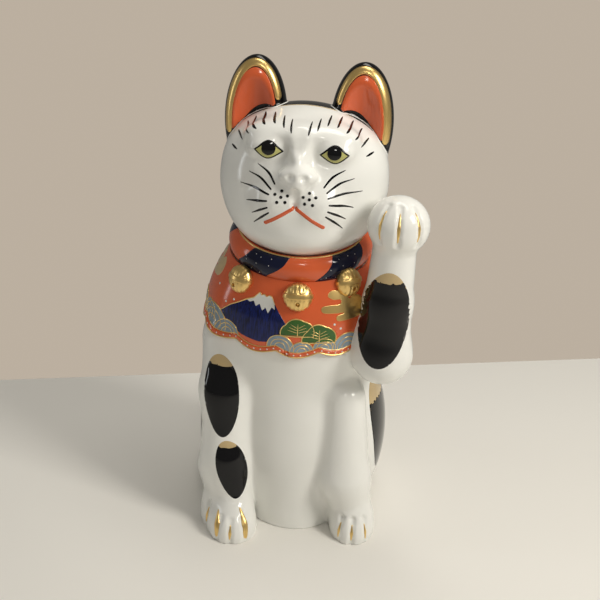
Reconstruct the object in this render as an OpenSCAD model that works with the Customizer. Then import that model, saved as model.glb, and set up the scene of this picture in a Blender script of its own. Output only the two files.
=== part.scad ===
// Beckoning cat figurine: slip-cast porcelain mouldings and relief pieces, luted together with slip.
// The cat sits facing -Y with its left paw, on the +X side, raised beside the cheek.
// The origin is the centre of the foot, on the surface that the figure stands on.

/* [Body] */
// Width of the body over the shoulders
body_w = 99; // [80:1:120]
// Depth of the body from the belly to the back
body_d = 94; // [80:1:112]
// Height of the seam where the head is luted to the neck
neck_h = 161; // [130:1:195]
// Diameter of the neck inside the collar
neck_d = 54; // [46:1:60]

/* [Head] */
// Width of the head over the cheeks
head_w = 88; // [72:1:106]
// Depth of the head without the nose
head_d = 74; // [64:1:84]
// Height of the head from the neck seam to the crown
head_h = 75; // [64:1:90]
// Height of the ears above the crown
ear_h = 22.5; // [14:0.5:30]
// Width of an ear
ear_w = 33; // [28:0.2:36]

/* [Raised arm] */
// Diameter of the forearm
forearm_d = 25.6; // [20:0.2:29]
// Diameter of the raised paw
paw_d = 31; // [26:0.5:36]
// Height of the top of the raised paw
paw_top = 201.5; // [180:0.5:225]

/* [Porcelain] */
// Thickness of the cast walls
wall = 4; // [3:0.1:5]
// Thickness of the slip between luted pieces
lute = 0.15; // [0.1:0.01:0.3]
// Diameter of the vent hole in the foot
vent_d = 14; // [6:0.5:18]
// Diameter of the air hole between the arm and the body
arm_vent_d = 6; // [4:0.5:8]

/* [Collar] */
// Height of the rolled collar
collar_h = 15; // [12:0.5:17]
// Thickness of the rolled collar
collar_t = 11; // [8:0.5:12]
// Forward tilt of the collar
collar_tilt = 9; // [0:0.5:12]

/* [Bib] */
// Thickness of the bib over the chest
bib_t = 2; // [1.2:0.1:2.6]
// How far the bib hangs below the neck seam at the front
bib_drop = 48; // [38:1:60]
// Number of scallops round the hem
scallops = 12; // [8:1:20]
// Depth of a scallop
scallop_d = 3; // [0:0.5:5]

/* [Bells] */
// Diameter of a bell
bell_d = 15.5; // [12:0.5:17]
// How far a bell stands out from the bib
bell_out = 5; // [3:0.5:7]
// How far the centre of the front bell hangs below the neck seam
bell_drop = 16; // [12:0.5:20]

/* [Tail] */
// Diameter of the tail
tail_d = 21; // [16:0.5:25]

/* [Hidden] */

PORCELAIN = "whitesmoke";
RED_ENAMEL = "orangered";
GOLD = "gold";

neck_r = neck_d / 2;
torso_cols = 56;
torso_row = 6.5;
foot_row = 3;
foot_zone = 21;
core_cols = 36;
bed_cols = 48;
bed_sides = 16;
core_row = 8;
head_cols = 48;
head_row = 7.5;
rim_row = 1.8;
arm_cols = 24;
arm_rows = 26;
ear_cols = 32;
ear_rows = 9;
ear_base_rings = [0.1, 0.4, 0.7, 0.9];
bib_cols = 72;
bib_rows = 6;
tail_cols = 16;
tail_rows = 16;
ray_start = 110;

// ---- Rounded masses that melt into each other, like clay ----
// A mass is an egg, [melt, centre, radii], or a limb, [melt, end, other end, radius, other radius].

function times(a, b) = [a.x * b.x, a.y * b.y, a.z * b.z];
function flipped(p) = [-p.x, p.y, p.z];
function mirrored(m) = len(m) == 3
    ? [m[0], flipped(m[1]), m[2]]
    : [m[0], flipped(m[1]), flipped(m[2]), m[3], m[4]];
function pair(masses) = [for (m = masses) each [m, mirrored(m)]];

// Masses set out at their usual size, moved to an origin and stretched
function stretched(masses, stretch, origin = [0, 0, 0]) = [
    for (m = masses) len(m) == 3
        ? [m[0], origin + times(m[1], stretch), times(m[2], stretch)]
        : [m[0], origin + times(m[1], stretch), origin + times(m[2], stretch), m[3] * stretch.x, m[4] * stretch.x]
];

// Distance from a point to an egg or a limb, below zero inside it
function from_egg(p, c, r) =
    let (q = p - c,
         near = norm([q.x / r.x, q.y / r.y, q.z / r.z]),
         slope = norm([q.x / (r.x * r.x), q.y / (r.y * r.y), q.z / (r.z * r.z)]))
    slope == 0 ? -min(r) : near * (near - 1) / slope;
function from_limb(p, a, b, ra, rb) =
    let (ab = b - a, t = min(1, max(0, (p - a) * ab / (ab * ab))))
    norm(p - a - t * ab) - ra - (rb - ra) * t;
function from_mass(p, m) = len(m) == 3 ? from_egg(p, m[1], m[2]) : from_limb(p, m[1], m[2], m[3], m[4]);
function melt(a, b, k) = let (h = max(k - abs(a - b), 0) / k) min(a, b) - h * h * k / 4;
function from_all(p, masses, i, d) =
    i == len(masses) ? d : from_all(p, masses, i + 1, melt(d, from_mass(p, masses[i]), masses[i][0]));
function from_masses(p, masses) = from_all(p, masses, 1, from_mass(p, masses[0]));

// How far a surface lies from a point along a direction, walking in from outside
function reach(from, way, skin, r = ray_start, steps = 40) =
    let (d = skin(from + r * way))
    steps == 0 || abs(d) < 0.02 ? r : reach(from, way, skin, max(r - d * 0.9, 0.5), steps - 1);
function around(angle) = [cos(angle), sin(angle), 0];
function at_front(angle) = around(angle - 90);
// The angle of a column, with columns closer together at the front of the figure
function column(j, cols) = let (angle = j * 360 / cols) angle - 25 * cos(angle);

// ---- The figure's masses ----

body_stretch = [body_w / 99, body_d / 94, neck_h / 161];
BODY = stretched(concat([
        [0, [0, 0, 118], [49, 41, 54]],                              // chest
        [20, [0, 8, 50], [45, 46, 62]],                              // back and flanks
        [12, [4, -11, 62], [5, -13, -10], 26, 27]                    // belly
    ], pair([
        [14, [32, 10, 41], [22, 39, 46]],                            // haunch
        [10, [30, -24, 80], [35, -29, 32], 12.5, 13]                 // thigh
    ]), [
        [8, [35, -29, 32], [40, -31, 12], 12.5, 11.5],               // left shank and hind foot
        [5, [41, -33, 3], [12.5, 15.5, 15]],
        [8, [-34, -29, 32], [-34, -31, 12], 11.5, 11],               // right shank and hind foot
        [5, [-34, -33, 3], [12, 15, 15]],
        [12, [-35, -14, 104], [-36, -25, 78], 15, 12.5],             // standing foreleg
        [8, [-36, -25, 78], [-32, -34, 40], 12.5, 11],
        [8, [-32, -34, 40], [-26.5, -38, 14], 11, 10.5],
        [6, [-25.5, -45.5, 3], [13.5, 15, 15]]                       // front foot
    ]), body_stretch);
NECK = [14, [0, 0, neck_h - 30], [0, 0, neck_h + 6], neck_r + 6, neck_r];

head_stretch = [head_w / 88, head_d / 74, head_h / 75];
head_seat = [0, 0, neck_h];
HEAD = stretched(concat([
        [0, [0, -1, 31], [44, 37, 30]],                              // cheeks and jaw
        [10, [0, 0, 46], [42.5, 36, 29]],                            // skull
        [8, [0, -4, 20], [37, 36, 25]],                              // jowls, down to the collar
        [8, [0, -30, 17], [17, 9, 9]],                               // chin
        [8, [0, -27, 60], [0, -35, 50], 6, 6],                       // bridge of the nose
        [4, [0, -40, 46], [8.5, 5.5, 6]]                             // nose
    ], pair([
        [7, [9, -32, 31], [12, 9, 10]]                               // muzzle
    ])), head_stretch, head_seat);

// The arm leaves the shoulder, turns up at the elbow and ends in a ball of a paw.
elbow = [49 * body_stretch.x, -27 * body_stretch.y, 111 * body_stretch.z];
shoulder = [36 * body_stretch.x, -14 * body_stretch.y, 120 * body_stretch.z];
paw = [elbow.x + 3, elbow.y - 5, paw_top - paw_d / 2];
wrist = [elbow.x + 2, elbow.y - 4, paw.z - 0.4 * paw_d];
forearm_r = forearm_d / 2;
ARM = [
    [0, shoulder, elbow, forearm_r + 1, forearm_r + 1.7],
    [8, elbow, (elbow + wrist) / 2, forearm_r + 2.2, forearm_r],
    [4, (elbow + wrist) / 2, wrist, forearm_r, forearm_r - 1.6],
    [3, paw, paw_d / 2 * [1.02, 0.99, 0.99]]
];

// ---- The collar, a rolled ring tilted forward ----

collar_r = neck_r + collar_t / 2 + 0.7;
collar_z = neck_h + 1;
function from_collar(p) =
    let (y = p.y * cos(collar_tilt) + (p.z - collar_z) * sin(collar_tilt),
         z = (p.z - collar_z) * cos(collar_tilt) - p.y * sin(collar_tilt))
    from_egg([norm([p.x, y]) - collar_r, 0, z], [0, 0, 0], [collar_t / 2, 1, collar_h / 2]);

// ---- Surfaces of the castings ----

function from_torso(p) = from_masses(p, concat(BODY, [NECK]));
torso_skin = function (p) max(from_torso(p), lute - from_collar(p));
torso_core = function (p) torso_skin(p) + wall;
head_skin = function (p) max(from_masses(p, concat(HEAD, [NECK])), 2 * lute - from_collar(p), neck_h + lute - p.z);
head_core = function (p) max(from_masses(p, concat(HEAD, [NECK])), lute - from_collar(p)) + wall;
arm_skin = function (p) max(from_masses(p, ARM), lute - from_torso(p));
arm_core = function (p) arm_skin(p) + wall;

// ---- A skin over a stack of rings, each of the same number of points, closed at both ends ----

module skinned(rings) {
    cols = len(rings[0]);
    last = len(rings) - 1;
    points = concat([for (ring = rings) each ring], [mean(rings[0]), mean(rings[last])]);
    foot = len(points) - 2;
    top = len(points) - 1;
    sides = [
        for (i = [0 : last - 1], j = [0 : cols - 1])
            let (a = i * cols + j, b = i * cols + (j + 1) % cols)
            each [[a, a + cols, b + cols], [a, b + cols, b]]
    ];
    foot_cap = [for (j = [0 : cols - 1]) [foot, j, (j + 1) % cols]];
    top_cap = [for (j = [0 : cols - 1]) [top, last * cols + (j + 1) % cols, last * cols + j]];
    polyhedron(points, concat(sides, foot_cap, top_cap), convexity = 10);
}
function mean(points, i = 0, sum = [0, 0, 0]) =
    i == len(points) ? sum / len(points) : mean(points, i + 1, sum + points[i]);

// A level ring of points on a surface about an upright axis
function level_ring(axis, z, skin, cols) = [
    for (j = [0 : cols - 1])
        let (way = around(column(j, cols)), from = [axis.x, axis.y, z])
        from + reach(from, way, skin) * way
];
// A ring of points on a surface at one angle above the level, seen from a centre
function cone_ring(centre, rise, skin, cols) = [
    for (j = [0 : cols - 1])
        let (way = cos(rise) * around(column(j, cols)) + [0, 0, sin(rise)])
        centre + reach(centre, way, skin) * way
];
function steps_between(a, b, step) =
    let (n = max(1, ceil(abs(b - a) / step))) [for (i = [0 : n]) a + (b - a) * i / n];

// A groove between two toes, cut along a chain of points on the paw
module toe_groove(path, side, size = [1.6, 2.4, 1.6]) {
    for (i = [0 : len(path) - 2])
        hull()
            for (end = [path[i], path[i + 1]])
                translate(end) rotate(side) cube(size, center = true);
}
// The points of a groove on a foot, from the top of the toes down to the sole
function groove_path(centre, side, rises, skin) = [
    for (rise = rises)
        let (way = cos(rise) * at_front(side) + [0, 0, sin(rise)])
        centre + reach(centre, way, skin) * way
];

// ---- Body casting ----

torso_axis = [0, 12];
torso_levels = concat(
    steps_between(0, foot_zone, foot_row),
    steps_between(foot_zone + torso_row, neck_h, torso_row));
foot_rises = [48, 12];
toe_sides = [-30, 0, 30];
feet = [[-25.5, -46, 6], [41, -34, 6], [-34, -34, 6]];

module torso() {
    color(PORCELAIN)
        difference() {
            skinned([for (z = torso_levels) level_ring(torso_axis, z, function (p) from_torso(p), torso_cols)]);
            roll(lute, bed_cols, bed_sides);
            skinned([for (z = steps_between(wall, neck_h + 1, core_row)) level_ring(torso_axis, z, torso_core, core_cols)]);
            translate([torso_axis.x, torso_axis.y, -1]) cylinder(d = vent_d, h = wall + 2, $fn = 32);
            arm_air_hole();
            for (foot = feet, side = toe_sides)
                toe_groove(groove_path(times(foot, body_stretch), side, foot_rises, torso_skin), side);
        }
}

// A level hole from the arm's cavity into the body's
module arm_air_hole() {
    translate([elbow.x, elbow.y, shoulder.z - 4])
        rotate([0, 90, atan2(torso_axis.y - elbow.y, torso_axis.x - elbow.x)])
            cylinder(d = arm_vent_d, h = norm([elbow.x, elbow.y]) / 2, $fn = 16);
}

// ---- Head casting, open at the neck ----

head_centre = head_seat + times([0, -1, 37], head_stretch);
rim_rise = -atan((head_centre.z - neck_h - lute) / (neck_r - wall));
jaw_rise = -28;

module head() {
    color(PORCELAIN)
        skinned(concat(
            [for (rise = steps_between(86, rim_rise + 4, head_row)) cone_ring(head_centre, rise, head_core, head_cols)],
            [for (rise = steps_between(rim_rise, jaw_rise, rim_row)) cone_ring(head_centre, rise, head_skin, head_cols)],
            [for (rise = steps_between(jaw_rise + head_row, 87, head_row)) cone_ring(head_centre, rise, head_skin, head_cols)]));
}

// ---- Ears, each a hollowed arch that stands on the head ----

ear_top = neck_h + head_h + ear_h;
ear_r = [ear_w / 2, 11, 32.5];
ear_pit_r = [ear_w / 2 - 4, 10.5, 28];
ear_centre = [27.8 * head_stretch.x, 5, ear_top - ear_r.z];
ear_pit_y = -14;

// A point of the ear at an angle round it and at a height; its front is hollowed by the pit
function ear_point(angle, z) =
    let (size = sqrt(max(0, 1 - pow((z - ear_centre.z) / ear_r.z, 2))),
         x = ear_r.x * size * cos(angle),
         y = ear_r.y * size * sin(angle),
         pit = 1 - pow(x / ear_pit_r.x, 2) - pow((z - ear_centre.z) / ear_pit_r.z, 2),
         floor_y = ear_pit_y + ear_pit_r.y * sqrt(max(0, pit)))
    [ear_centre.x + x, ear_centre.y + (y < 0 && pit > 0 ? max(y, floor_y) : y), z];
// The height at which the ear meets the head at an angle
function ear_seat(angle, z, steps = 40) =
    let (d = head_skin(ear_point(angle, z)) - lute)
    steps == 0 || abs(d) < 0.02 ? z : ear_seat(angle, z - d * 0.7, steps - 1);

// A point straight below or above, on the head
function dropped(p, steps = 40) =
    let (d = head_skin(p) - lute)
    steps == 0 || abs(d) < 0.02 ? p : dropped([p.x, p.y, p.z - d * 0.7], steps - 1);
function ear_base_point(p, size) =
    dropped([ear_centre.x + size * (p.x - ear_centre.x), ear_centre.y + size * (p.y - ear_centre.y), p.z]);

module left_ear() {
    angles = [for (j = [0 : ear_cols - 1]) j * 360 / ear_cols];
    seats = [for (angle = angles) ear_seat(angle, ear_top - 6)];
    color(PORCELAIN)
        skinned(concat(
            [for (size = ear_base_rings)
                [for (j = [0 : ear_cols - 1]) ear_base_point(ear_point(angles[j], seats[j]), size)]],
            [for (i = [0 : ear_rows])
                let (t = sin(88 * i / ear_rows))
                [for (j = [0 : ear_cols - 1]) ear_point(angles[j], seats[j] + t * (ear_top - 0.1 - seats[j]))]]));
}

module right_ear() {
    mirror([1, 0, 0]) left_ear();
}

// ---- Raised arm: a hollow casting luted to the shoulder ----

arm_foot = elbow.z - forearm_r - 2.2;
arm_tip = paw_top + paw_d * 0.01;

function arm_rings(skin, low, high) = [
    for (i = [0 : arm_rows])
        let (z = low + (high - low) * (1 - cos(180 * i / arm_rows)) / 2,
             t = min(1, max(0, (z - elbow.z) / (paw.z - elbow.z))))
        level_ring(elbow + (paw - elbow) * t, z, skin, arm_cols)
];

module raised_arm() {
    color(PORCELAIN)
        difference() {
            skinned(arm_rings(arm_skin, arm_foot + 0.3, paw.z + paw_d * 0.49));
            skinned(arm_rings(arm_core, arm_foot + wall + 0.3, paw.z + paw_d * 0.49 - wall));
            arm_air_hole();
            for (side = toe_sides)
                toe_groove(groove_path(paw, side * 1.1, [-38, -8, 22, 48], arm_skin), side);
        }
}

// ---- Tail, a short one curled against the back ----

tail_arc = [9, 44, 27];
tail_sweep = [285, 150];
tail_r = tail_d / 2;

// The back of the body at a place across and up
function back_y(x, z) = reach([x, 0, z], [0, 1, 0], torso_skin);
function tail_spine(t) =
    let (angle = tail_sweep[0] + (tail_sweep[1] - tail_sweep[0]) * t,
         x = tail_arc[0] + tail_arc[2] * cos(angle),
         z = tail_arc[1] + tail_arc[2] * sin(angle))
    [x, back_y(x, z) + tail_r * 0.3, z];
function tail_size(t) = tail_r * (1 - 0.25 * t) * sqrt(max(0.02, 1 - pow(max(0, 0.14 - t, t - 0.86) / 0.141, 2)));

module tail() {
    color(PORCELAIN)
        skinned([
            for (i = [0 : tail_rows])
                let (t = (1 - cos(180 * i / tail_rows)) / 2,
                     centre = tail_spine(t),
                     angle = tail_sweep[0] + (tail_sweep[1] - tail_sweep[0]) * t,
                     size = tail_size(t),
                     outline = function (p) max(norm(p - centre) - size, lute - torso_skin(p)))
                [for (j = [0 : tail_cols - 1])
                    let (turn = j * 360 / tail_cols,
                         way = cos(turn) * around_spine(angle) + [0, sin(turn), 0])
                    centre + reach(centre, way, outline, tail_d) * way]
        ]);
}
function around_spine(angle) = [cos(angle), 0, sin(angle)];

// ---- Bib: a relief layer round the shoulders, with a scalloped hem ----

hem_rise = 14;
hem_turn = -8;
function bib_skin(t) = function (p) torso_skin(p) - lute - t * bib_t;
function bib_point(angle, z, t) =
    let (way = at_front(angle)) [0, 0, z] + reach([0, 0, z], way, bib_skin(t)) * way;
function hem_z(angle) =
    neck_h - bib_drop + hem_rise * (1 - cos(angle)) / 2 + scallop_d * (0.5 - abs(sin((angle - hem_turn) * scallops / 2)));
// The hem steps over the arm's root, and the top stops under the collar.
function over_arm(angle, z) =
    min(from_masses(bib_point(angle, z, 1), ARM), from_masses(bib_point(angle, z, 0), ARM)) > lute + 0.4
    ? z : over_arm(angle, z + 0.5);
function under_collar(angle, z) =
    min(from_collar(bib_point(angle, z, 1)), from_collar(bib_point(angle, z, 0))) > lute
    ? z : under_collar(angle, z - 0.25);

module bib() {
    color(RED_ENAMEL)
        hoop([
            for (j = [0 : bib_cols - 1])
                let (angle = j * 360 / bib_cols,
                     low = over_arm(angle, hem_z(angle)),
                     high = under_collar(angle, collar_z),
                     heights = [for (i = [0 : bib_rows]) low + (high - low) * i / bib_rows])
                concat([for (z = heights) bib_point(angle, z, 0)],
                       [for (i = [bib_rows : -1 : 0]) bib_point(angle, heights[i], 1)])
        ]);
}

// A closed hoop over sections, each of the same number of points
module hoop(sections) {
    rows = len(sections[0]);
    cols = len(sections);
    sides = [
        for (j = [0 : cols - 1], i = [0 : rows - 1])
            let (a = j * rows + i, b = j * rows + (i + 1) % rows, next = ((j + 1) % cols) * rows)
            each [[a, next + i, next + (i + 1) % rows], [a, next + (i + 1) % rows, b]]
    ];
    polyhedron([for (section = sections) each section], sides, convexity = 10);
}

// ---- Collar ----

module collar() {
    color(RED_ENAMEL) roll(0, 96, 28);
}

// The collar's ring, or the bed for it in the neck, which is larger by the slip and outside the ring's facets
module roll(slip, cols, sides) {
    grow = slip > 0 ? [1 / cos(180 / sides), 1 / cos(180 / cols)] : [1, 1];
    translate([0, 0, collar_z])
        rotate([collar_tilt, 0, 0])
            rotate_extrude($fn = cols)
                polygon([
                    for (i = [0 : sides - 1])
                        let (turn = i * 360 / sides)
                        [collar_r + (collar_t / 2 * grow.x + slip) * cos(turn) * (cos(turn) > 0 ? grow.y : 1),
                         (collar_h / 2 * grow.x + slip) * sin(turn)]
                ]);
}

// ---- Bells: gilt domes, each with a band across it ----

bell_r = bell_d / 2;
bell_band = [2.6, 0.5];
bell_angles = [6, 46, 135, 181, 228, 317];
bell_lifts = [0, 4, 0, 0, 0, 1];

// Flat backs sit clear of both the bib and the collar.
dressed_skin = function (p) min(torso_skin(p) - lute - bib_t, from_collar(p));
function bell_height(i) =
    neck_h - bell_drop + bell_lifts[i - 1] + collar_r * tan(collar_tilt) * (1 - cos(bell_angles[i - 1]));
function bell_seat(i) =
    let (way = at_front(bell_angles[i - 1]), across = around(bell_angles[i - 1]), z = bell_height(i))
    lute + max([
        for (turn = [0 : 30 : 330], out = [0, bell_r])
            reach([0, 0, z + out * sin(turn)] + out * cos(turn) * across, way, dressed_skin)
    ]);

module dome(r, out) {
    rotate_extrude($fn = 48)
        polygon(concat([[0, 0]], [for (i = [0 : 11]) [r * cos(i * 90 / 12), out * sin(i * 90 / 12)]], [[0, out]]));
}

module bell(i) {
    angle = bell_angles[i - 1];
    color(GOLD)
        translate([0, 0, bell_height(i)] + bell_seat(i) * at_front(angle))
            rotate([90, 0, angle]) {
                dome(bell_r, bell_out);
                intersection() {
                    dome(bell_r + bell_band[1], bell_out + bell_band[1]);
                    translate([-bell_d, -bell_band[0] / 2, 0]) cube([2 * bell_d, bell_band[0], bell_d]);
                }
            }
}

torso();
head();
right_ear();
left_ear();
raised_arm();
tail();
bib();
collar();
for (i = [1 : len(bell_angles)])
    bell(i);
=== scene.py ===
"""Beckoning cat figurine: glazed porcelain castings, painted with raised enamels and gilding.

Shapes are worked out in millimetres, and every mesh is in metres. The cat faces -Y and raises
its left paw, at +X.
"""

import math

import bpy
import numpy as np
import openvdb as vdb
from bpy.props import FloatProperty, FloatVectorProperty, IntProperty, PointerProperty
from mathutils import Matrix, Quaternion, Vector
from mathutils.geometry import delaunay_2d_cdt


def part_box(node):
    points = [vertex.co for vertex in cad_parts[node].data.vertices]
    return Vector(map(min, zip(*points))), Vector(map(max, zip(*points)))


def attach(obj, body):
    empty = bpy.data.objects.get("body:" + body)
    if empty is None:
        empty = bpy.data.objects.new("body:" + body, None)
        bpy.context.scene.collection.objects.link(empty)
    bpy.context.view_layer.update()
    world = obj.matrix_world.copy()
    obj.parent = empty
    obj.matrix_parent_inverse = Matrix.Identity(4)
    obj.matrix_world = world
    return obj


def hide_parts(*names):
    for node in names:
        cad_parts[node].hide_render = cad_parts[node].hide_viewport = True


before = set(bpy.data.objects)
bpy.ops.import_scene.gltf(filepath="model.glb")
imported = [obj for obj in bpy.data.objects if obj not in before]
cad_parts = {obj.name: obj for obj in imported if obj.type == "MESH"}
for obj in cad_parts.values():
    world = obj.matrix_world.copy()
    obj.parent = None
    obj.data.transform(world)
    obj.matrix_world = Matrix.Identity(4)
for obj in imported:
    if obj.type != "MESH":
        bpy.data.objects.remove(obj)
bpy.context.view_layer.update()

bl_info = {
    "name": "Beckoning Cat",
    "version": (1, 0, 0),
    "blender": (4, 2, 0),
    "location": "View3D > Sidebar > Cat",
    "description": "Casts and paints a porcelain beckoning cat",
    "category": "Object",
}

MM = 0.001


# ---- Driving dimensions, from the frame ----


def node_box(node):
    """Lowest and highest corner of a CAD node, in millimetres."""
    low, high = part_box(node)
    return np.array(low) / MM, np.array(high) / MM


def node_size(node):
    low, high = node_box(node)
    return high - low


NECK_Z = node_box("torso")[1][2]
# The masses below are given for a cat of these sizes, and stretched to the frame's.
USUAL_TORSO = (108.7, 114.4)
USUAL_HEAD = (89.2, 82.5, 74.9)
USUAL_NECK_Z = 161
BODY_STRETCH = (
    node_size("torso")[0] / USUAL_TORSO[0],
    node_size("torso")[1] / USUAL_TORSO[1],
    NECK_Z / USUAL_NECK_Z,
)
HEAD_STRETCH = tuple(node_size("head") / USUAL_HEAD)
EAR_TOP = node_box("left_ear")[1][2]
EAR_WIDTH = node_size("left_ear")[0]
ARM_TOP = node_box("raised_arm")[1][2]
PAW_R = 15.5
COLLAR_LOW, COLLAR_HIGH = node_box("collar")
COLLAR_TILT = math.radians(9)
COLLAR_THICK, COLLAR_TALL = 11.0, 15.0
COLLAR_R = COLLAR_HIGH[0] - COLLAR_THICK / 2
COLLAR_Z = (COLLAR_LOW[2] + COLLAR_HIGH[2]) / 2
NECK_R = COLLAR_R - COLLAR_THICK / 2 - 0.7
BELL_NODES = [n for n in sorted(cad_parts) if n.startswith("bell_")]


# ---- Sizes and colours that a user would change ----


def length(name, description, default):
    return FloatProperty(
        name=name,
        description=description,
        default=default * MM,
        min=0.0,
        unit="LENGTH",
        precision=5,
    )


class CatSizes(bpy.types.PropertyGroup):
    body_grid: length("Body Grid", "Grid of the body casting", 1.0)
    head_grid: length("Head Grid", "Grid of the head casting", 0.62)
    bib_thick: length("Bib Thickness", "Thickness of the bib over the chest", 2.0)
    enamel: length("Enamel", "Height of the enamels above the glaze", 0.13)
    scallops: IntProperty(
        name="Scallops",
        description="Number of scallops round the hem",
        default=12,
        min=4,
    )
    scallop: length("Scallop Depth", "Depth of a scallop of the hem", 3.0)
    dot: length("Dot", "Diameter of a white dot of enamel", 1.0)


def colour(name, red, green, blue):
    return FloatVectorProperty(
        name=name,
        description=f"Colour of the {name.lower()}",
        subtype="COLOR",
        size=3,
        min=0.0,
        max=1.0,
        default=(red, green, blue),
    )


class CatColours(bpy.types.PropertyGroup):
    porcelain: colour("Porcelain", 0.61, 0.61, 0.55)
    red: colour("Red Enamel", 0.28, 0.003, 0.001)
    navy: colour("Navy Enamel", 0.006, 0.009, 0.035)
    cobalt: colour("Blue Enamel", 0.005, 0.011, 0.085)
    green: colour("Green Enamel", 0.05, 0.13, 0.03)
    wave: colour("Wave Enamel", 0.27, 0.34, 0.4)
    white: colour("White Enamel", 0.8, 0.8, 0.76)
    yellow: colour("Yellow Enamel", 0.56, 0.54, 0.2)
    tan: colour("Tan Enamel", 0.56, 0.42, 0.22)
    black: colour("Black Enamel", 0.004, 0.004, 0.005)
    gold: colour("Gilding", 0.76, 0.47, 0.14)
    table: colour("Table", 0.86, 0.84, 0.79)
    wall: colour("Wall", 0.5, 0.43, 0.35)


def sizes():
    return bpy.context.scene.cat_sizes


def colours():
    return bpy.context.scene.cat_colours


# ---- Distances to rounded masses that melt into each other ----
# A mass is an egg, (melt, centre, radii), or a limb, (melt, end, other end, radius, other radius).


def egg(p, centre, radii):
    q = (p - np.asarray(centre, p.dtype)) / np.asarray(radii, p.dtype)
    near = np.sqrt((q * q).sum(-1))
    slope = np.sqrt(((q / np.asarray(radii, p.dtype)) ** 2).sum(-1))
    return near * (near - 1) / np.maximum(slope, 1e-6)


def limb(p, a, b, ra, rb):
    a, b = np.asarray(a, p.dtype), np.asarray(b, p.dtype)
    ab = b - a
    t = np.clip(((p - a) @ ab) / (ab @ ab), 0, 1)
    q = p - a - t[..., None] * ab
    return np.sqrt((q * q).sum(-1)) - ra - (rb - ra) * t


def mass(p, m):
    return egg(p, m[1], m[2]) if len(m) == 3 else limb(p, *m[1:])


def melt(a, b, k):
    h = np.maximum(k - np.abs(a - b), 0) / k
    return np.minimum(a, b) - h * h * k / 4


def carve(a, b, k):
    """What is left of a when b is cut away, with a rounded edge."""
    return -melt(-a, b, k)


def masses(p, parts):
    d = mass(p, parts[0])
    for m in parts[1:]:
        d = melt(d, mass(p, m), m[0])
    return d


def flipped(point):
    return (-point[0], point[1], point[2])


def pair(*parts):
    """Each mass and its mirror image."""
    other = [
        (m[0], flipped(m[1]), m[2])
        if len(m) == 3
        else (m[0], flipped(m[1]), flipped(m[2]), *m[3:])
        for m in parts
    ]
    return [x for both in zip(parts, other) for x in both]


def stretched(parts, by, origin=(0, 0, 0)):
    by, origin = np.array(by), np.array(origin)
    return [
        (m[0], origin + np.array(m[1]) * by, np.array(m[2]) * by)
        if len(m) == 3
        else (
            m[0],
            origin + np.array(m[1]) * by,
            origin + np.array(m[2]) * by,
            m[3] * by[0],
            m[4] * by[0],
        )
        for m in parts
    ]


BODY = stretched(
    [
        (0, (0, 0, 118), (49, 41, 54)),  # chest
        (20, (0, 8, 50), (45, 46, 62)),  # back and flanks
        (10, (4, -11, 62), (5, -13, -10), 26, 27),  # belly
        *pair(
            (14, (32, 10, 41), (22, 39, 46)),  # haunch
            (4.5, (31, -24, 80), (34, -30, 34), 11.5, 14),  # thigh
        ),
        (8, (35, -29, 32), (40, -31, 12), 12.5, 11.5),  # left shank and hind foot
        (5, (41, -33, 3), (12.5, 15.5, 15)),
        (8, (-34, -29, 32), (-34, -31, 12), 11.5, 11),  # right shank and hind foot
        (5, (-34, -33, 3), (12, 15, 15)),
        (10, (-35, -14, 104), (-36, -25, 78), 15, 12.5),  # standing foreleg
        (6, (-36, -25, 78), (-32, -34, 40), 12.5, 11),
        (6, (-32, -34, 40), (-26.5, -38, 14), 11, 10.5),
        (6, (-25.5, -45.5, 3), (13.5, 15, 15)),  # front foot
    ],
    BODY_STRETCH,
)
NECK = (14, (0, 0, NECK_Z - 30), (0, 0, NECK_Z + 6), NECK_R + 6, NECK_R)

HEAD = stretched(
    [
        (0, (0, -1, 31), (44, 37, 30)),  # cheeks and jaw
        (10, (0, 0, 46), (42.5, 36, 29)),  # skull
        (8, (0, -4, 20), (37, 36, 25)),  # jowls, down to the collar
        (8, (0, -30, 17), (17, 9, 9)),  # chin
        (8, (0, -28, 62), (0, -36, 50), 6.5, 6),  # bridge of the nose
        *pair(
            (10, (15.5, -22.5, 63.5), (12, 7, 5.5)),  # brow
            (7, (9.5, -32.5, 32), (11.5, 10, 10)),  # muzzle
        ),
    ],
    HEAD_STRETCH,
    (0, 0, NECK_Z),
)
EYE_SOCKETS = stretched(
    pair((6, (8.6, -39.5, 58.5), (4.2, 7.5, 8)), (7, (17, -41, 56.5), (10, 8, 6.5))),
    HEAD_STRETCH,
    (0, 0, NECK_Z),
)
EYEBALLS = stretched(
    pair((3, (16.8, -27, 58.3), (9.5, 6.8, 6.2))), HEAD_STRETCH, (0, 0, NECK_Z)
)
NOSE = stretched(
    [
        (3, (0.5, -38.4, 47.9), (9.2, 5.6, 4.3)),
        (3, (0.5, -39.3, 43.4), (4.2, 4.9, 4.8)),
    ],
    HEAD_STRETCH,
    (0, 0, NECK_Z),
)
NOSE_CUTS = stretched(
    [
        (2, (4.2, -44.6, 48.3), (2.0, 2.4, 1.6)),
        (2, (-3.2, -44.6, 48.3), (2.0, 2.4, 1.6)),
        (2, (0, -43.6, 41), (0, -41, 33.5), 1.9, 1.3),
        (5, (0, -34.5, 70), (0, -37.5, 62), 2.2, 2.2),
    ],
    HEAD_STRETCH,
    (0, 0, NECK_Z),
)

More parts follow.
